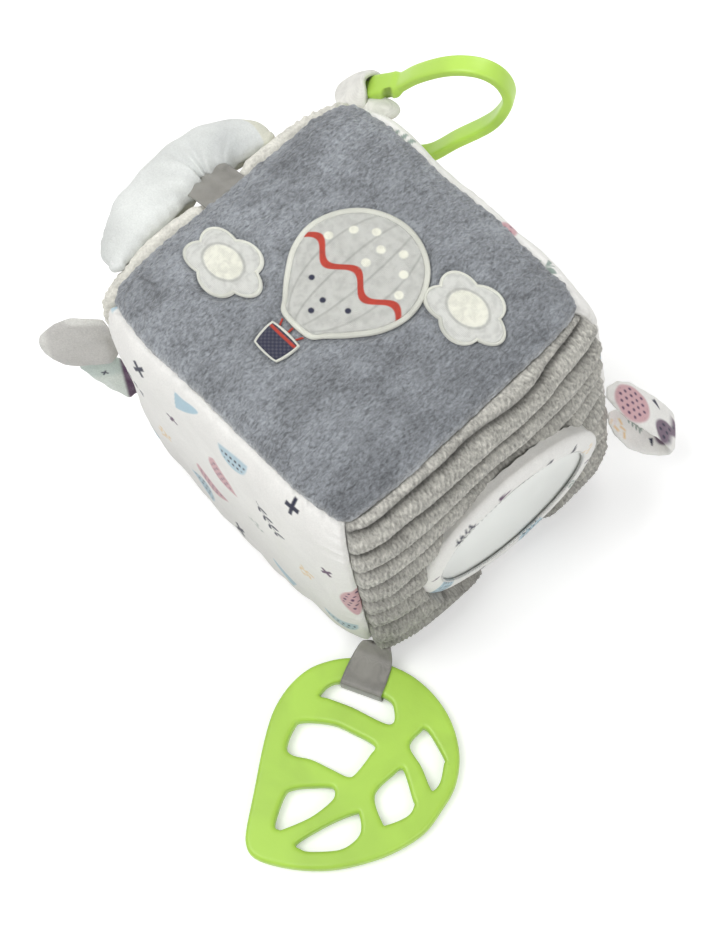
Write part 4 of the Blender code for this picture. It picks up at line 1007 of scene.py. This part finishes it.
def round_plate(name, node, radius, low, high, look):
    """A thin round plate under the mirror's ring, very slightly wavy."""
    turn = circle(180)
    shares = (0.03, 0.3, 0.6, 0.85, 0.985)
    section = [(radius * share, high) for share in shares] + [(radius, high - 0.25), (radius, low + 0.25)]
    section += [(radius * share, low) for share in reversed(shares)]
    local = [np.stack((r * np.cos(turn), r * np.sin(turn), np.full(len(turn), h)), axis=1) for r, h in section]
    local = np.vstack(local) * MM
    local[:, 2] += 0.03 * MM * lumps(local, 30 * MM, 57)
    plate = make_piece(name, at_mirror(local), tube_faces(len(section), len(turn)), look)
    fitted(plate, "block", node)


def mirror_surround():
    """The padded printed ring, puckered at its seams."""
    turn = circle(240)
    points = []
    for index, (radius, height) in enumerate(MIRROR_RING_PROFILE):
        share = index / (len(MIRROR_RING_PROFILE) - 1)
        pucker = 0.20 * np.sin(turn * 46 + 2 * np.sin(turn * 5)) * (abs(share - 0.5) * 2) ** 1.5
        soft = 0.25 * np.sin(turn * 3 + 1) + 0.15 * np.sin(turn * 7 + 2)
        r = (radius + pucker * 0.6 + (0.25 * soft if share < 0.6 else 0)) * MM
        h = (height + (pucker + soft) * min(height / 3, 1) * (0.8 if share < 0.75 else 0.1)) * MM
        points.append(np.stack((r * np.cos(turn), r * np.sin(turn), h), axis=1))
    local = np.vstack(points)
    motifs = (
        (sprig, (-22, 26), 5.4, NAVY, 40), (sprig, (28, -19), 5.0, SAGE, -60), (cross_mark, (-34, 4), 1.4, PLUM, 20),
        (dotted_disc, (-30, -15), 5.6, BLUE, NAVY, 60), (dotted_disc, (10, -33), 5.8, BLUE, NAVY, 0),
        (cross_mark, (14, 31), 1.6, NAVY, 10), (dashes, (32, 9), 4, YELLOW, 30), (drop, (-5, 34), 2.6, PLUM, 10),
        (cross_mark, (-13, -32), 1.5, NAVY, 30), (drop, (25, 23), 2.4, NAVY, 70), (cross_mark, (34, -6), 1.4, PLUM, 0),
    )
    tint = print_cloth(local[:, 1] / MM, -local[:, 0] / MM, motifs)
    row = np.repeat(np.arange(len(MIRROR_RING_PROFILE)), len(turn))
    # Painted shade on the inner rows of the ring, where its lip turns down to the mirror.
    blend_in(tint, 0.7 * ease(row, 10.5, 13), screen(150, 152, 150))
    look = pile_look("Frame velour", 2200.0, 900.0, 90.0, 0.93, 1.04, 0.92, 0.25 * MM, 0.15)
    faces = grid_faces(len(MIRROR_RING_PROFILE), len(turn), wrap=True)
    return make_piece("mirror_surround", at_mirror(local), faces, look, tint)


def mirror_stitching():
    """A round of short raised stitches beside the mirror."""
    stitches, steps, corners, radius, foot = 96, 5, 6, 31.15, 3.3
    verts, faces = [], []
    for stitch in range(stitches):
        for step in range(steps):
            angle = FULL_TURN * (stitch + 0.12 + 0.19 * step) / stitches
            rise = foot + 0.28 * math.sin(math.pi * step / (steps - 1))
            for spin in circle(corners):
                r = (radius + 0.26 * math.cos(spin)) * MM
                verts.append((r * math.cos(angle), r * math.sin(angle), (rise + 0.2 * math.sin(spin)) * MM))
        faces += grid_faces(steps, corners, start=stitch * steps * corners, wrap=True)
    thread = thread_look("Frame stitching", screen(226, 227, 225), 0.88, 1.06, 0.6, 0.0)
    return make_piece("mirror_stitching", at_mirror(np.array(verts)), faces, thread)


def mirror_look():
    """Safety mirror film: a soft, slightly cloudy reflection."""
    made, tree, shader = new_look("Mirror film")
    place = add(tree, "ShaderNodeTexCoord")
    cloudy = noise_node(tree, place.outputs["Object"], 70.0, 3, 0.5)
    tree.links.new(range_node(tree, cloudy, 0.3, 0.7, 0.28, 0.38), shader.inputs["Roughness"])
    ramp = add(tree, "ShaderNodeValToRGB")
    ramp.color_ramp.elements[0].color = (*screen(218, 221, 217), 1)
    ramp.color_ramp.elements[1].color = (*screen(228, 230, 226), 1)
    tree.links.new(cloudy, ramp.inputs["Fac"])
    tree.links.new(ramp.outputs["Color"], shader.inputs["Base Color"])
    shader.inputs["Metallic"].default_value = 1.0
    bump_node(tree, cloudy, shader, 0.08 * MM, 0.3)
    return made


class SOFTBLOCK_OT_mirror(bpy.types.Operator):
    """Set the mirror in its padded printed frame"""
    bl_idname = "softblock.mirror"
    bl_label = "Mirror"

    def execute(self, context):
        fitted(mirror_surround(), "block", "mirror_frame", fill=0.4)
        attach(mirror_stitching(), "block")
        board = finish_material("Backing board", grain_group(), screen(200, 196, 186), (("Grain", 700.0),),
                                0.9, 1.05, 0.85)
        round_plate("mirror_film", "mirror_disc", 32.2, 1.3, 2.65, mirror_look())
        round_plate("mirror_board", "mirror_backing_board", 36.4, -0.1, 1.2, board)
        return {"FINISHED"}


def dress(node, look):
    """Give a carried-over solid its finish."""
    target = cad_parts[node]
    if not target.material_slots:
        target.data.materials.append(look)
    for place in target.material_slots:
        place.material = look


# Ring and tab

def lime_look(name, colour):
    return finish_material(name, grain_group(), colour, (("Grain", 700.0), ("Flow", 30.0)), 0.92, 1.06, 0.36, 0.12 * MM,
                           soft=0.12, rough_spread=0.05)


class SOFTBLOCK_OT_hanger(bpy.types.Operator):
    """Fit the cloth tab and the ring that hangs from it"""
    bl_idname = "softblock.hanger"
    bl_label = "Tab and ring"

    def execute(self, context):
        colours = context.scene.softblock_colours
        jersey = finish_material("Tab jersey", weave_group(), screen(226, 225, 219),
                                 (("Threads", 800.0), ("Slub", 300.0)), 0.88, 1.06, 0.92, 0.3 * MM, sheen=0.15)
        root, bar, tangent = TAB_ROOT, RING_BAR, RING_TANGENT
        away = bar - root
        reach = away - tangent * (away @ tangent)
        reach /= np.linalg.norm(reach)
        over = np.cross(tangent, reach)
        knots = [(root + over * 0.6 * MM, ALONG * 4.4 * MM, over),
                 (root + away * 0.32 + over * 3.0 * MM, (ALONG * 3.2 + tangent * 2.6) * MM, over)]
        for turn in (112, 75, 38, 0, -38, -75, -112):
            radial = reach * math.cos(turn * DEG) + over * math.sin(turn * DEG)
            knots.append((bar + radial * 5.3 * MM - tangent * 0.8 * MM, tangent * 7.2 * MM, radial))
        knots += [(root + away * 0.32 - over * 3.0 * MM, (ALONG * 3.2 + tangent * 2.6) * MM, -over),
                  (root - over * 0.6 * MM, ALONG * 4.4 * MM, -over)]
        verts, faces, run, share = strip([k[0] for k in knots], [k[1] for k in knots],
                                         [k[2] * 0.85 * MM for k in knots], 8, 25)
        centre = np.repeat(verts.reshape(-1, 50, 3).mean(axis=1), 50, axis=0)
        outward = centre - bar
        outward /= np.maximum(np.linalg.norm(outward, axis=1), 1e-6)[:, None]
        bulge = (1 - share ** 2) * np.sin(math.pi * run) * 0.7 * MM - np.abs(share) ** 6 * 0.5 * MM
        verts += outward * (bulge + 0.22 * MM * lumps(verts, 5 * MM, 61))[:, None]
        tab = make_piece("cloth_tab", verts, faces, jersey)
        fitted(tab, "tab", "hanging_tab")

        rows, columns = 24, 40
        tilts = np.linspace(-1, 1, rows) * math.pi / 2
        tilt, turn = [m.ravel() for m in np.meshgrid(tilts, circle(columns), indexing="ij")]
        wide, deep, high = np.cos(tilt) * np.cos(turn), np.cos(tilt) * np.sin(turn), np.sin(tilt)
        middle = root + ALONG * (8.8 * MM) + OUT_BACK * 0.4 * MM - UP * 0.9 * MM
        thick = 5.0 - 1.2 * wide
        lobe = (middle + ALONG * (7.0 * MM * wide)[:, None] + OUT_BACK * (thick * MM * deep)[:, None]
                + UP * (2.3 * MM * bent(high, 0.8))[:, None])
        lobe += UP * (0.3 * MM * lumps(lobe, 6 * MM, 62))[:, None]
        fold = make_piece("tab_fold", lobe, grid_faces(rows, columns, wrap=True), jersey)
        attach(fold, "block")

        normal = RING_NORMAL / np.linalg.norm(RING_NORMAL)
        level = np.cross(UP, normal)
        level /= np.linalg.norm(level)
        rise = np.cross(normal, level)
        rows, corners = 420, 44
        line = even(closed_curve(RING_LINE, 12), rows)
        ahead = np.roll(line, -1, axis=0) - np.roll(line, 1, axis=0)
        ahead /= np.linalg.norm(ahead, axis=1)[:, None]
        clasp = ease(line[:, 0], 2.4, 3.8) * (1 - ease(line[:, 0], 12.0, 14.6)) * (line[:, 1] > -3)
        turn = circle(corners)
        around, across = bent(np.cos(turn), 0.5), bent(np.sin(turn), 0.4)
        thick = ((1.8 + 0.9 * clasp)[:, None] * around[None]).ravel()
        wide = ((3.4 + 0.9 * clasp)[:, None] * across[None]).ravel()
        side = np.repeat(line[:, 0], corners) - np.repeat(ahead[:, 1], corners) * thick
        high = np.repeat(line[:, 1], corners) + np.repeat(ahead[:, 0], corners) * thick
        notch = np.exp(-((side - 9.9) / 1.7) ** 4) * ease(wide, 2.6, 4.0) * np.repeat(clasp, corners)
        wide = wide - 1.2 * notch
        verts = bar + (level * side[:, None] + rise * high[:, None] + normal * wide[:, None]) * MM
        tint = plain_cloth(colours.lime, len(verts))
        # Painted highlight on the upper part of the ring.
        blend_in(tint, 0.7 * ease(high, 2, 14), screen(194, 234, 100))
        blend_in(tint, 0.35 * ease(-high, 0, 20), screen(190, 228, 84))
        # Painted shade in the clasp's notch and on the ring's end beside the tab.
        tint *= (1 - 0.5 * notch - 0.3 * ease(-side, -4.6, -2.0) * (high > -3))[:, None]
        faces = [tuple(corner % len(verts) for corner in face)
                 for face in grid_faces(rows + 1, corners, wrap=True)]
        ring = make_piece("carrying_ring", verts, faces, lime_look("Ring plastic", None), tint)
        fitted(ring, "ring", "hanging_ring")
        return {"FINISHED"}


# Teether

def strip(path, across, thick, steps, count):
    """A smooth strip of cloth along a path, with a width direction and a face direction at each point."""
    where = np.linspace(0, len(path) - 1, (len(path) - 1) * steps + 1)
    centre, side, face = (smooth_line(values, where) for values in (path, across, thick))
    shares = np.concatenate((np.linspace(-1, 1, count), np.linspace(1, -1, count)))
    over = np.concatenate((np.ones(count), -np.ones(count)))
    points = centre[:, None] + side[:, None] * shares[None, :, None] + face[:, None] * over[None, :, None]
    faces = tube_faces(len(where), 2 * count)
    return points.reshape(-1, 3), faces, np.repeat(where / where[-1], 2 * count), np.tile(shares, len(where))


def leaf_piece(look):
    """The flat leaf with its six openings and rounded edges, resting on the floor at its tip."""
    base_rim = skin_point(1, -1, -1) + OUT_RIGHT * LEAF_REACH
    base_rim[2] = 0
    slot_v = LEAF_SLOT_SHARE * LEAF_LENGTH
    rise = 1.1 * MM
    tilt = math.atan2(rise, LEAF_LENGTH - slot_v / 2)
    turn = np.array(Matrix.Rotation(tilt, 3, Vector(-ALONG)).inverted())
    steps = np.linspace(0, math.pi / 2, 6)
    low = [(LEAF_ROUNDING * (1 - math.cos(t)), LEAF_ROUNDING * (1 - math.sin(t))) for t in steps]
    levels = [(0, LEAF_ROUNDING + 0.6 * MM)] + low
    levels += [(LEAF_THICKNESS - height, inset) for height, inset in reversed(levels)]
    mesh = bmesh.new()
    bottoms, tops = [], []
    for curve, side in [(LEAF_OUTLINE, 1)] + [(hole, -1) for hole in LEAF_HOLES]:
        line = closed_curve(curve, 8 if side > 0 else 7) * np.array((LEAF_WIDTH, LEAF_LENGTH))
        run = np.roll(line, -1, axis=0) - np.roll(line, 1, axis=0)
        inward = np.stack((-run[:, 1], run[:, 0]), axis=1) / np.linalg.norm(run, axis=1)[:, None]
        area = (line[:, 0] * np.roll(line[:, 1], -1) - np.roll(line[:, 0], -1) * line[:, 1]).sum()
        inward *= side * (1 if area > 0 else -1)
        rows = []
        for height, inset in levels:
            uv = line + inward * inset
            flat = ALONG * uv[:, :1] + OUT_RIGHT * (uv[:, 1:] - slot_v / 2) + UP * height
            place = base_rim + OUT_RIGHT * slot_v / 2 + UP * rise + flat @ turn.T
            rows.append([mesh.verts.new(v) for v in place])
        count = len(line)
        for lower, upper in zip(rows, rows[1:]):
            for step in range(count):
                after = (step + 1) % count
                mesh.faces.new((lower[step], lower[after], upper[after], upper[step]))
        for store, row in ((bottoms, rows[0]), (tops, rows[-1])):
            store += [mesh.edges.get((row[step], row[(step + 1) % count])) for step in range(count)]
    for loop in (bottoms, tops):
        bmesh.ops.triangle_fill(mesh, use_beauty=True, edges=loop)
    bmesh.ops.recalc_face_normals(mesh, faces=mesh.faces)
    made = bpy.data.meshes.new("leaf_teether")
    mesh.to_mesh(made)
    mesh.free()
    made.shade_smooth()
    made.materials.append(look)
    return placed("leaf_teether", made)


def satin_look(name, colour):
    return finish_material(name, weave_group(), colour, (("Threads", 1500.0), ("Slub", 160.0)), 0.82, 1.2, 0.36,
                           0.08 * MM, sheen=0.3, rough_spread=0.12)


class SOFTBLOCK_OT_teether(bpy.types.Operator):
    """Hang the leaf teether on its satin ribbon"""
    bl_idname = "softblock.teether"
    bl_label = "Teether"

    def execute(self, context):
        colours = context.scene.softblock_colours
        fitted(leaf_piece(lime_look("Leaf plastic", colours.lime)), "leaf", "teether_leaf")

        corner = skin_point(1, -1, -1)
        root = corner + OUT_RIGHT * 0.65 * MM
        rim = corner + OUT_RIGHT * LEAF_REACH
        slant = 20 * DEG
        fold_line = ALONG * math.cos(slant) + OUT_RIGHT * math.sin(slant)
        inward = ALONG * math.sin(slant) - OUT_RIGHT * math.cos(slant)
        slot_v = LEAF_SLOT_SHARE * LEAF_LENGTH
        slot_edge = np.array((rim[0], rim[1], 0)) - ALONG * 0.06 * LEAF_WIDTH + OUT_RIGHT * slot_v
        bar_width = slot_v / math.cos(slant)
        rim_point = slot_edge + inward * (bar_width - 0.7 * MM)
        outer = -inward
        half, side, pinch = 0.25 * MM, fold_line * 7.5 * MM, ALONG * 2.9 * MM
        high, low, wrap, turn = 6.25 * MM, 0.35 * MM, 0.55 * MM, 0.7 * MM
        knots = (
            (root + UP * 0.6 * MM + ALONG * 1.6 * MM, pinch * 1.2, UP),
            (root * 0.55 + rim_point * 0.45 + UP * (high * 0.9) + ALONG * 1.2 * MM, side * 0.72, UP),
            (rim_point + UP * (high + 0.5 * MM), side * 0.92, UP),
            (slot_edge + inward * 5 * MM + UP * high, side, UP),
            (slot_edge + inward * turn * 2 + UP * high, side, UP),
            (slot_edge + outer * wrap / 2 + UP * (high - turn / 2), side, (UP + outer) / math.sqrt(2)),
            (slot_edge + outer * wrap + UP * (high - 2 * turn), side, outer),
            (slot_edge + outer * wrap + UP * (low + 2 * turn), side, outer),
            (slot_edge + outer * wrap / 2 + UP * (low + turn / 2), side, (outer - UP) / math.sqrt(2)),
            (slot_edge + inward * turn * 2 + UP * low, side, -UP), (rim_point + UP * low, side * 0.85, -UP),
            (root * 0.4 + rim_point * 0.6 + UP * 0.6 * MM, side * 0.6, -UP), (root - UP * 0.3 * MM, pinch, -UP),
        )
        verts, faces, run, share = strip([k[0] for k in knots], [k[1] for k in knots],
                                         [k[2] * half for k in knots], 6, 19)
        first = 1 - ease(run, 0.02, 0.3)
        verts += UP[None] * (first * 0.55 * MM * np.cos(share * math.pi * 2.5))[:, None]
        ribbon = make_piece("satin_ribbon", verts, faces, satin_look("Grey satin", colours.satin))
        fitted(ribbon, "ribbon", "teether_ribbon")
        return {"FINISHED"}


# Moon

class SOFTBLOCK_OT_moon(bpy.types.Operator):
    """Stuff the moon and pleat the ribbon that carries it"""
    bl_idname = "softblock.moon"
    bl_label = "Moon"

    def execute(self, context):
        colours = context.scene.softblock_colours
        look = pile_look("Moon velour", 2000.0, 700.0, 80.0, 0.9, 1.05, 0.93, 0.3 * MM, 0.2)
        beside = np.array((0, 1.0, 0))
        outward = np.array((-math.cos(MOON_FALL), 0, -math.sin(MOON_FALL)))
        raised = np.cross(beside, outward)
        root = skin_point(-1, 0, 1) + np.array((-1, 0, 1)) / math.sqrt(2) * 0.65 * MM
        line = np.array(MOON_LINE)
        where = np.linspace(0, len(line) - 1, 12 * (len(line) - 1) + 1)
        line = smooth_line(line, where)
        run = np.gradient(line[:, :2], axis=0)
        run /= np.linalg.norm(run, axis=1)[:, None]
        stations = [(line[k], run[k]) for k in range(len(line))]
        for first, sign in ((True, -1), (False, 1)):
            end, way = stations[0] if first else stations[-1]
            caps = []
            for step in np.linspace(0, math.pi / 2, 8)[1:]:
                place = end[:2] + sign * way * end[2] * math.sin(step)
                caps.append((np.array((*place, max(end[2] * math.cos(step), 0.05))), way))
            stations = caps[::-1] + stations if first else stations + caps
        corners = 72
        turns = circle(corners)
        y, out, high = [], [], []
        for (along, off, wide), way in stations:
            thick = MOON_THICKNESS * (wide / MOON_HALF_WIDTH) ** 0.8
            across = wide * bent(np.cos(turns), 0.92)
            y.append(along - way[1] * across)
            out.append(off + way[0] * across)
            high.append(thick * bent(np.sin(turns), 0.85))
        y, out, high = (np.concatenate(v) for v in (y, out, high))
        verts = root + y[:, None] * MM * beside + out[:, None] * MM * outward + high[:, None] * MM * raised
        moon = make_piece("moon_cushion", verts, tube_faces(len(stations), corners), look)
        spread_angle = np.arctan2(y, out - 6)
        folds = np.sin(spread_angle * 12 + 1.2 * np.sin(spread_angle * 4)) * hump(out, 12, 13) * hump(y, 19, 3)
        seam = hump(high, 0.7, -3.2)
        change = 0.85 * folds - 0.7 * seam + 0.35 * lumps(verts, 14 * MM, 71)
        change += 0.25 * np.sin(y * 1.4 + 2 * np.sin(out / 3)) * hump(high, 3) * (1 - seam)
        move_out(moon, verts, change * MM)
        tint = plain_cloth(screen(219, 222, 219), len(verts))
        # Painted shade: random grey patches over the lumps of the stuffing.
        tint *= (1 - 0.08 * lumps(verts, 24 * MM, 73))[:, None]
        # Painted shade on the upper inner side of the moon, beside the ribbon.
        shaded = hump(y, 7, 13) * ease(high, -1, 2) * ease(-out, -24, -12)
        blend_in(tint, 0.5 * shaded, screen(176, 180, 180))
        blend_in(tint, edge(high + 3.0 - 8.0 * ease(y, 18, 25), 0.4) * 0.95, screen(208, 208, 192))
        blend_in(tint, seam * 0.45, screen(180, 181, 176))
        # Painted shade in the hollows of the folds.
        blend_in(tint, 0.28 * np.clip(-folds, 0, 1), screen(188, 190, 190))
        paint(moon, tint)
        fitted(moon, "moon", "moon_front_shell", "moon_back_shell", fill=0.75)
        rings = verts.reshape(-1, corners, 3)[5:-5]
        middle = rings.mean(axis=1, keepdims=True)
        inner = (middle + 0.8 * (rings - middle)).reshape(-1, 3)
        wadding = make_piece("moon_wadding", inner, tube_faces(len(rings), corners),
                             finish_material("Moon wadding", pile_group(), screen(240, 240, 238)))
        fitted(wadding, "moon", "moon_filling", fill=0.75)

        knots = []
        for share in np.linspace(-0.2, 1, 7):
            rise = (0.9 * math.sin(math.pi * share) + 0.35 * (1 - share)) * MM
            place = root + outward * share * MOON_RIBBON_REACH + raised * rise
            knots.append((place, beside * MOON_RIBBON_HALF_WIDTH, raised * 0.3 * MM))
        verts, faces, run, share = strip(*([knot[k] for knot in knots] for k in range(3)), 8, 41)
        folds = np.sin(share * 8.2 + 0.7 + 0.8 * np.sin(share * 3.1))
        verts += raised[None] * ((0.5 + 0.5 * run) * 0.45 * MM * folds)[:, None]
        ribbon = make_piece("moon_band", verts, faces, satin_look("Moon satin", colours.satin))
        fitted(ribbon, "moon", "moon_ribbon")
        return {"FINISHED"}


# Flaps and loop

class SOFTBLOCK_OT_flaps(bpy.types.Operator):
    """Sew the two flaps and the printed loop into the corner seams"""
    bl_idname = "softblock.flaps"
    bl_label = "Flaps and loop"

    def execute(self, context):
        colours = context.scene.softblock_colours
        velour = pile_look("Flap velour", 2000.0, 800.0, 90.0, 0.85, 1.1, 0.92, 0.35 * MM, 0.3)
        printed = pile_look("Loop velour", 2200.0, 900.0, 90.0, 0.93, 1.04, 0.92, 0.22 * MM, 0.15)

        upper = softened("upper_flap", "flap_upper_leaf", 0.42 * MM, 8, velour)
        points = vertex_values(upper.data.vertices, "co")
        out = -(points - corner_seam(-1, -1, 84.5 * MM)) @ ALONG / MM
        rim = np.clip(np.abs(points[:, 2] / MM - 83.0) / 12.5, 0, 2)
        move_out(upper, points, 0.22 * MM * lumps(points, 9 * MM, 81))
        tint = plain_cloth(colours.flap, len(points))
        blend_in(tint, edge(-(np.maximum(rim, out / 25.4) - 0.9), 0.05) * 0.6, screen(222, 222, 216))
        paint(upper, tint)
        fitted(upper, "flap_upper", "flap_upper_leaf", fill=0.3)

        lower = softened("lower_flap", "flap_lower_leaf", 0.4 * MM, 8, velour)
        points = vertex_values(lower.data.vertices, "co")
        out = -(points - corner_seam(-1, -1, 55.5 * MM)) @ ALONG / MM
        high = points[:, 2] / MM - 56
        move_out(lower, points, 0.18 * MM * lumps(points, 7 * MM, 87))
        tint = plain_cloth(screen(216, 223, 216), len(points))
        blend_in(tint, edge(-(high - 5), 1.5) * 0.7, MINT)
        cross_mark(tint, out, high, (9, 6.5), 1.3, NAVY, 25)
        blend_in(tint, edge(out - 3.2, 0.6), PLUM)
        paint(lower, tint)
        fitted(lower, "flap_lower", "flap_lower_leaf", fill=0.3)

        loop = softened("printed_loop", "print_loop", 0.45 * MM, 6, printed)
        points = vertex_values(loop.data.vertices, "co")
        root = corner_seam(1, 1, 42.8 * MM)
        out = (points - root) @ ALONG / MM
        beside = (points - root) @ OUT_RIGHT / MM
        upper_arm = ease(points[:, 2] / MM - (33 - 0.35 * out), -2, 2)[:, None]
        move_out(loop, points, 0.15 * MM * lumps(points, 8 * MM, 91))
        upper_print = (
            (dotted_disc, (9, 1), 6.0, PINK, PLUM, 15), (drop, (17.5, -4), 1.6, NAVY, 40),
            (dotted_disc, (21, 4), 4.0, PLUM, NAVY, 0),
        )
        lower_print = (
            (sprig, (10, -2), 3.2, SAGE, 30), (drop, (16, 3), 1.5, NAVY, 80), (dashes, (5, 2), 5, YELLOW, 10),
            (dotted_disc, (21, 0), 4.0, PLUM, NAVY, 0),
        )
        paint(loop, print_cloth(out, beside, upper_print) * upper_arm
              + print_cloth(out, beside, lower_print) * (1 - upper_arm))
        fitted(loop, "loop", "print_loop", fill=0.2)
        return {"FINISHED"}


class SOFTBLOCK_OT_inside(bpy.types.Operator):
    """Finish the stuffing, crinkle film and rattle inside the block"""
    bl_idname = "softblock.inside"
    bl_label = "Inside"

    def execute(self, context):
        wadding = finish_material("Wadding", pile_group(), screen(238, 238, 236), (("Tuft", 900.0),))
        film = finish_material("Crinkle film", grain_group(), screen(228, 232, 236), (("Flow", 220.0),), 0.9, 1.05,
                               0.3, 0.6 * MM)
        cup = finish_material("Rattle cup", grain_group(), screen(232, 228, 214), (), 0.92, 1.04, 0.45)
        ball = finish_material("Rattle ball", grain_group(), screen(150, 170, 190), (), 0.92, 1.04, 0.4)
        for node, look in (("core_wadding", wadding), ("wadding_plug", wadding), ("crinkle_film", film),
                           ("rattle_cup_lower", cup), ("rattle_cup_upper", cup), ("rattle_ball_1", ball),
                           ("rattle_ball_2", ball), ("rattle_ball_3", ball)):
            dress(node, look)
        return {"FINISHED"}


# Stage

def seen_directly(tree):
    """1 for what the camera sees, also off gloss or through glass, and 0 for light that bounces."""
    path = add(tree, "ShaderNodeLightPath")
    seen = math_node(tree, "MAXIMUM", path.outputs["Is Camera Ray"], path.outputs["Is Glossy Ray"])
    return math_node(tree, "MAXIMUM", seen, path.outputs["Is Transmission Ray"])


class SOFTBLOCK_OT_stage(bpy.types.Operator):
    """Set the floor, the lamps and the camera"""
    bl_idname = "softblock.stage"
    bl_label = "Stage"

    def execute(self, context):
        scene = context.scene
        scene.view_settings.view_transform = "Standard"
        floor_mesh = bpy.data.meshes.new("floor")
        reach, floor_height = 4.0, -0.2 * MM
        corners = [(x, y, floor_height) for x, y in ((-reach, -reach), (reach, -reach), (reach, reach),
                                                     (-reach, reach))]
        floor_mesh.from_pydata(corners, [], [(0, 1, 2, 3)])
        floor = placed("floor", floor_mesh)
        look, tree, shader = new_look("Studio floor")
        shader.inputs["Base Color"].default_value = (0.86, 0.86, 0.86, 1)
        shader.inputs["Roughness"].default_value = 0.95
        shader.inputs["Specular IOR Level"].default_value = 0.1
        seen = seen_directly(tree)
        shader.inputs["Emission Color"].default_value = (1, 1, 1, 1)
        tree.links.new(math_node(tree, "MULTIPLY", seen, 0.30), shader.inputs["Emission Strength"])
        floor_mesh.materials.append(look)

        world = bpy.data.worlds.new("Studio")
        scene.world = world
        world.use_nodes = True
        tree = world.node_tree
        background = tree.nodes["Background"]
        background.inputs["Color"].default_value = (1, 1, 1, 1)
        seen = seen_directly(tree)
        strength = add(tree, "ShaderNodeMapRange", in_To_Min=0.42, in_To_Max=0.9)
        tree.links.new(seen, strength.inputs["Value"])
        tree.links.new(strength.outputs[0], background.inputs["Strength"])

        for name, place, size, power in (("key", (-0.3, -0.5, 1.25), 0.9, 9.5),
                                         ("fill", (0.95, -0.1, 0.75), 0.8, 4.0),
                                         ("back", (-0.5, 0.9, 0.9), 0.9, 5.0)):
            light = bpy.data.lights.new(name, "AREA")
            light.shape = "DISK"
            light.size = size
            light.energy = power
            lamp = placed(name, light)
            lamp.location = place
            lamp.rotation_mode = "QUATERNION"
            lamp.rotation_quaternion = (Vector((0, 0, 0.05)) - Vector(place)).to_track_quat("-Z", "Y")

        camera = bpy.data.cameras.new("camera")
        camera.sensor_width = 36
        camera.lens = FOCAL_LENGTH / PICTURE_HEIGHT * camera.sensor_width
        camera.clip_start = 0.05
        eye = placed("camera", camera)
        forward = CAMERA_AHEAD.normalized()
        right = forward.cross(CAMERA_UP).normalized()
        upward = right.cross(forward)
        eye.matrix_world = Matrix((*zip(right, upward, -forward, CAMERA_PLACE), (0, 0, 0, 1)))
        scene.camera = eye
        return {"FINISHED"}


class SOFTBLOCK_PT_panel(bpy.types.Panel):
    bl_label = "Soft block"
    bl_idname = "SOFTBLOCK_PT_panel"
    bl_space_type = "VIEW_3D"
    bl_region_type = "UI"
    bl_category = "Soft block"

    def draw(self, context):
        for name in SoftBlockColours.__annotations__:
            self.layout.prop(context.scene.softblock_colours, name)
        for name in SoftBlockSizes.__annotations__:
            self.layout.prop(context.scene.softblock_sizes, name)
        for operator in OPERATORS:
            self.layout.operator(operator.bl_idname)


OPERATORS = (
    SOFTBLOCK_OT_stage, SOFTBLOCK_OT_panels, SOFTBLOCK_OT_patches, SOFTBLOCK_OT_mirror, SOFTBLOCK_OT_hanger,
    SOFTBLOCK_OT_teether, SOFTBLOCK_OT_moon, SOFTBLOCK_OT_flaps, SOFTBLOCK_OT_inside,
)
CLASSES = (SoftBlockColours, SoftBlockSizes, *OPERATORS, SOFTBLOCK_PT_panel)


def register():
    for made in CLASSES:
        bpy.utils.register_class(made)
    bpy.types.Scene.softblock_colours = bpy.props.PointerProperty(type=SoftBlockColours)
    bpy.types.Scene.softblock_sizes = bpy.props.PointerProperty(type=SoftBlockSizes)


def unregister():
    del bpy.types.Scene.softblock_sizes
    del bpy.types.Scene.softblock_colours
    for made in reversed(CLASSES):
        bpy.utils.unregister_class(made)


def main():
    register()
    for operator in OPERATORS:
        group, name = operator.bl_idname.split(".")
        if getattr(getattr(bpy.ops, group), name)() != {"FINISHED"}:
            raise RuntimeError(operator.bl_label + " did not finish")
    bpy.context.view_layer.update()


if __name__ == "__main__":
    main()
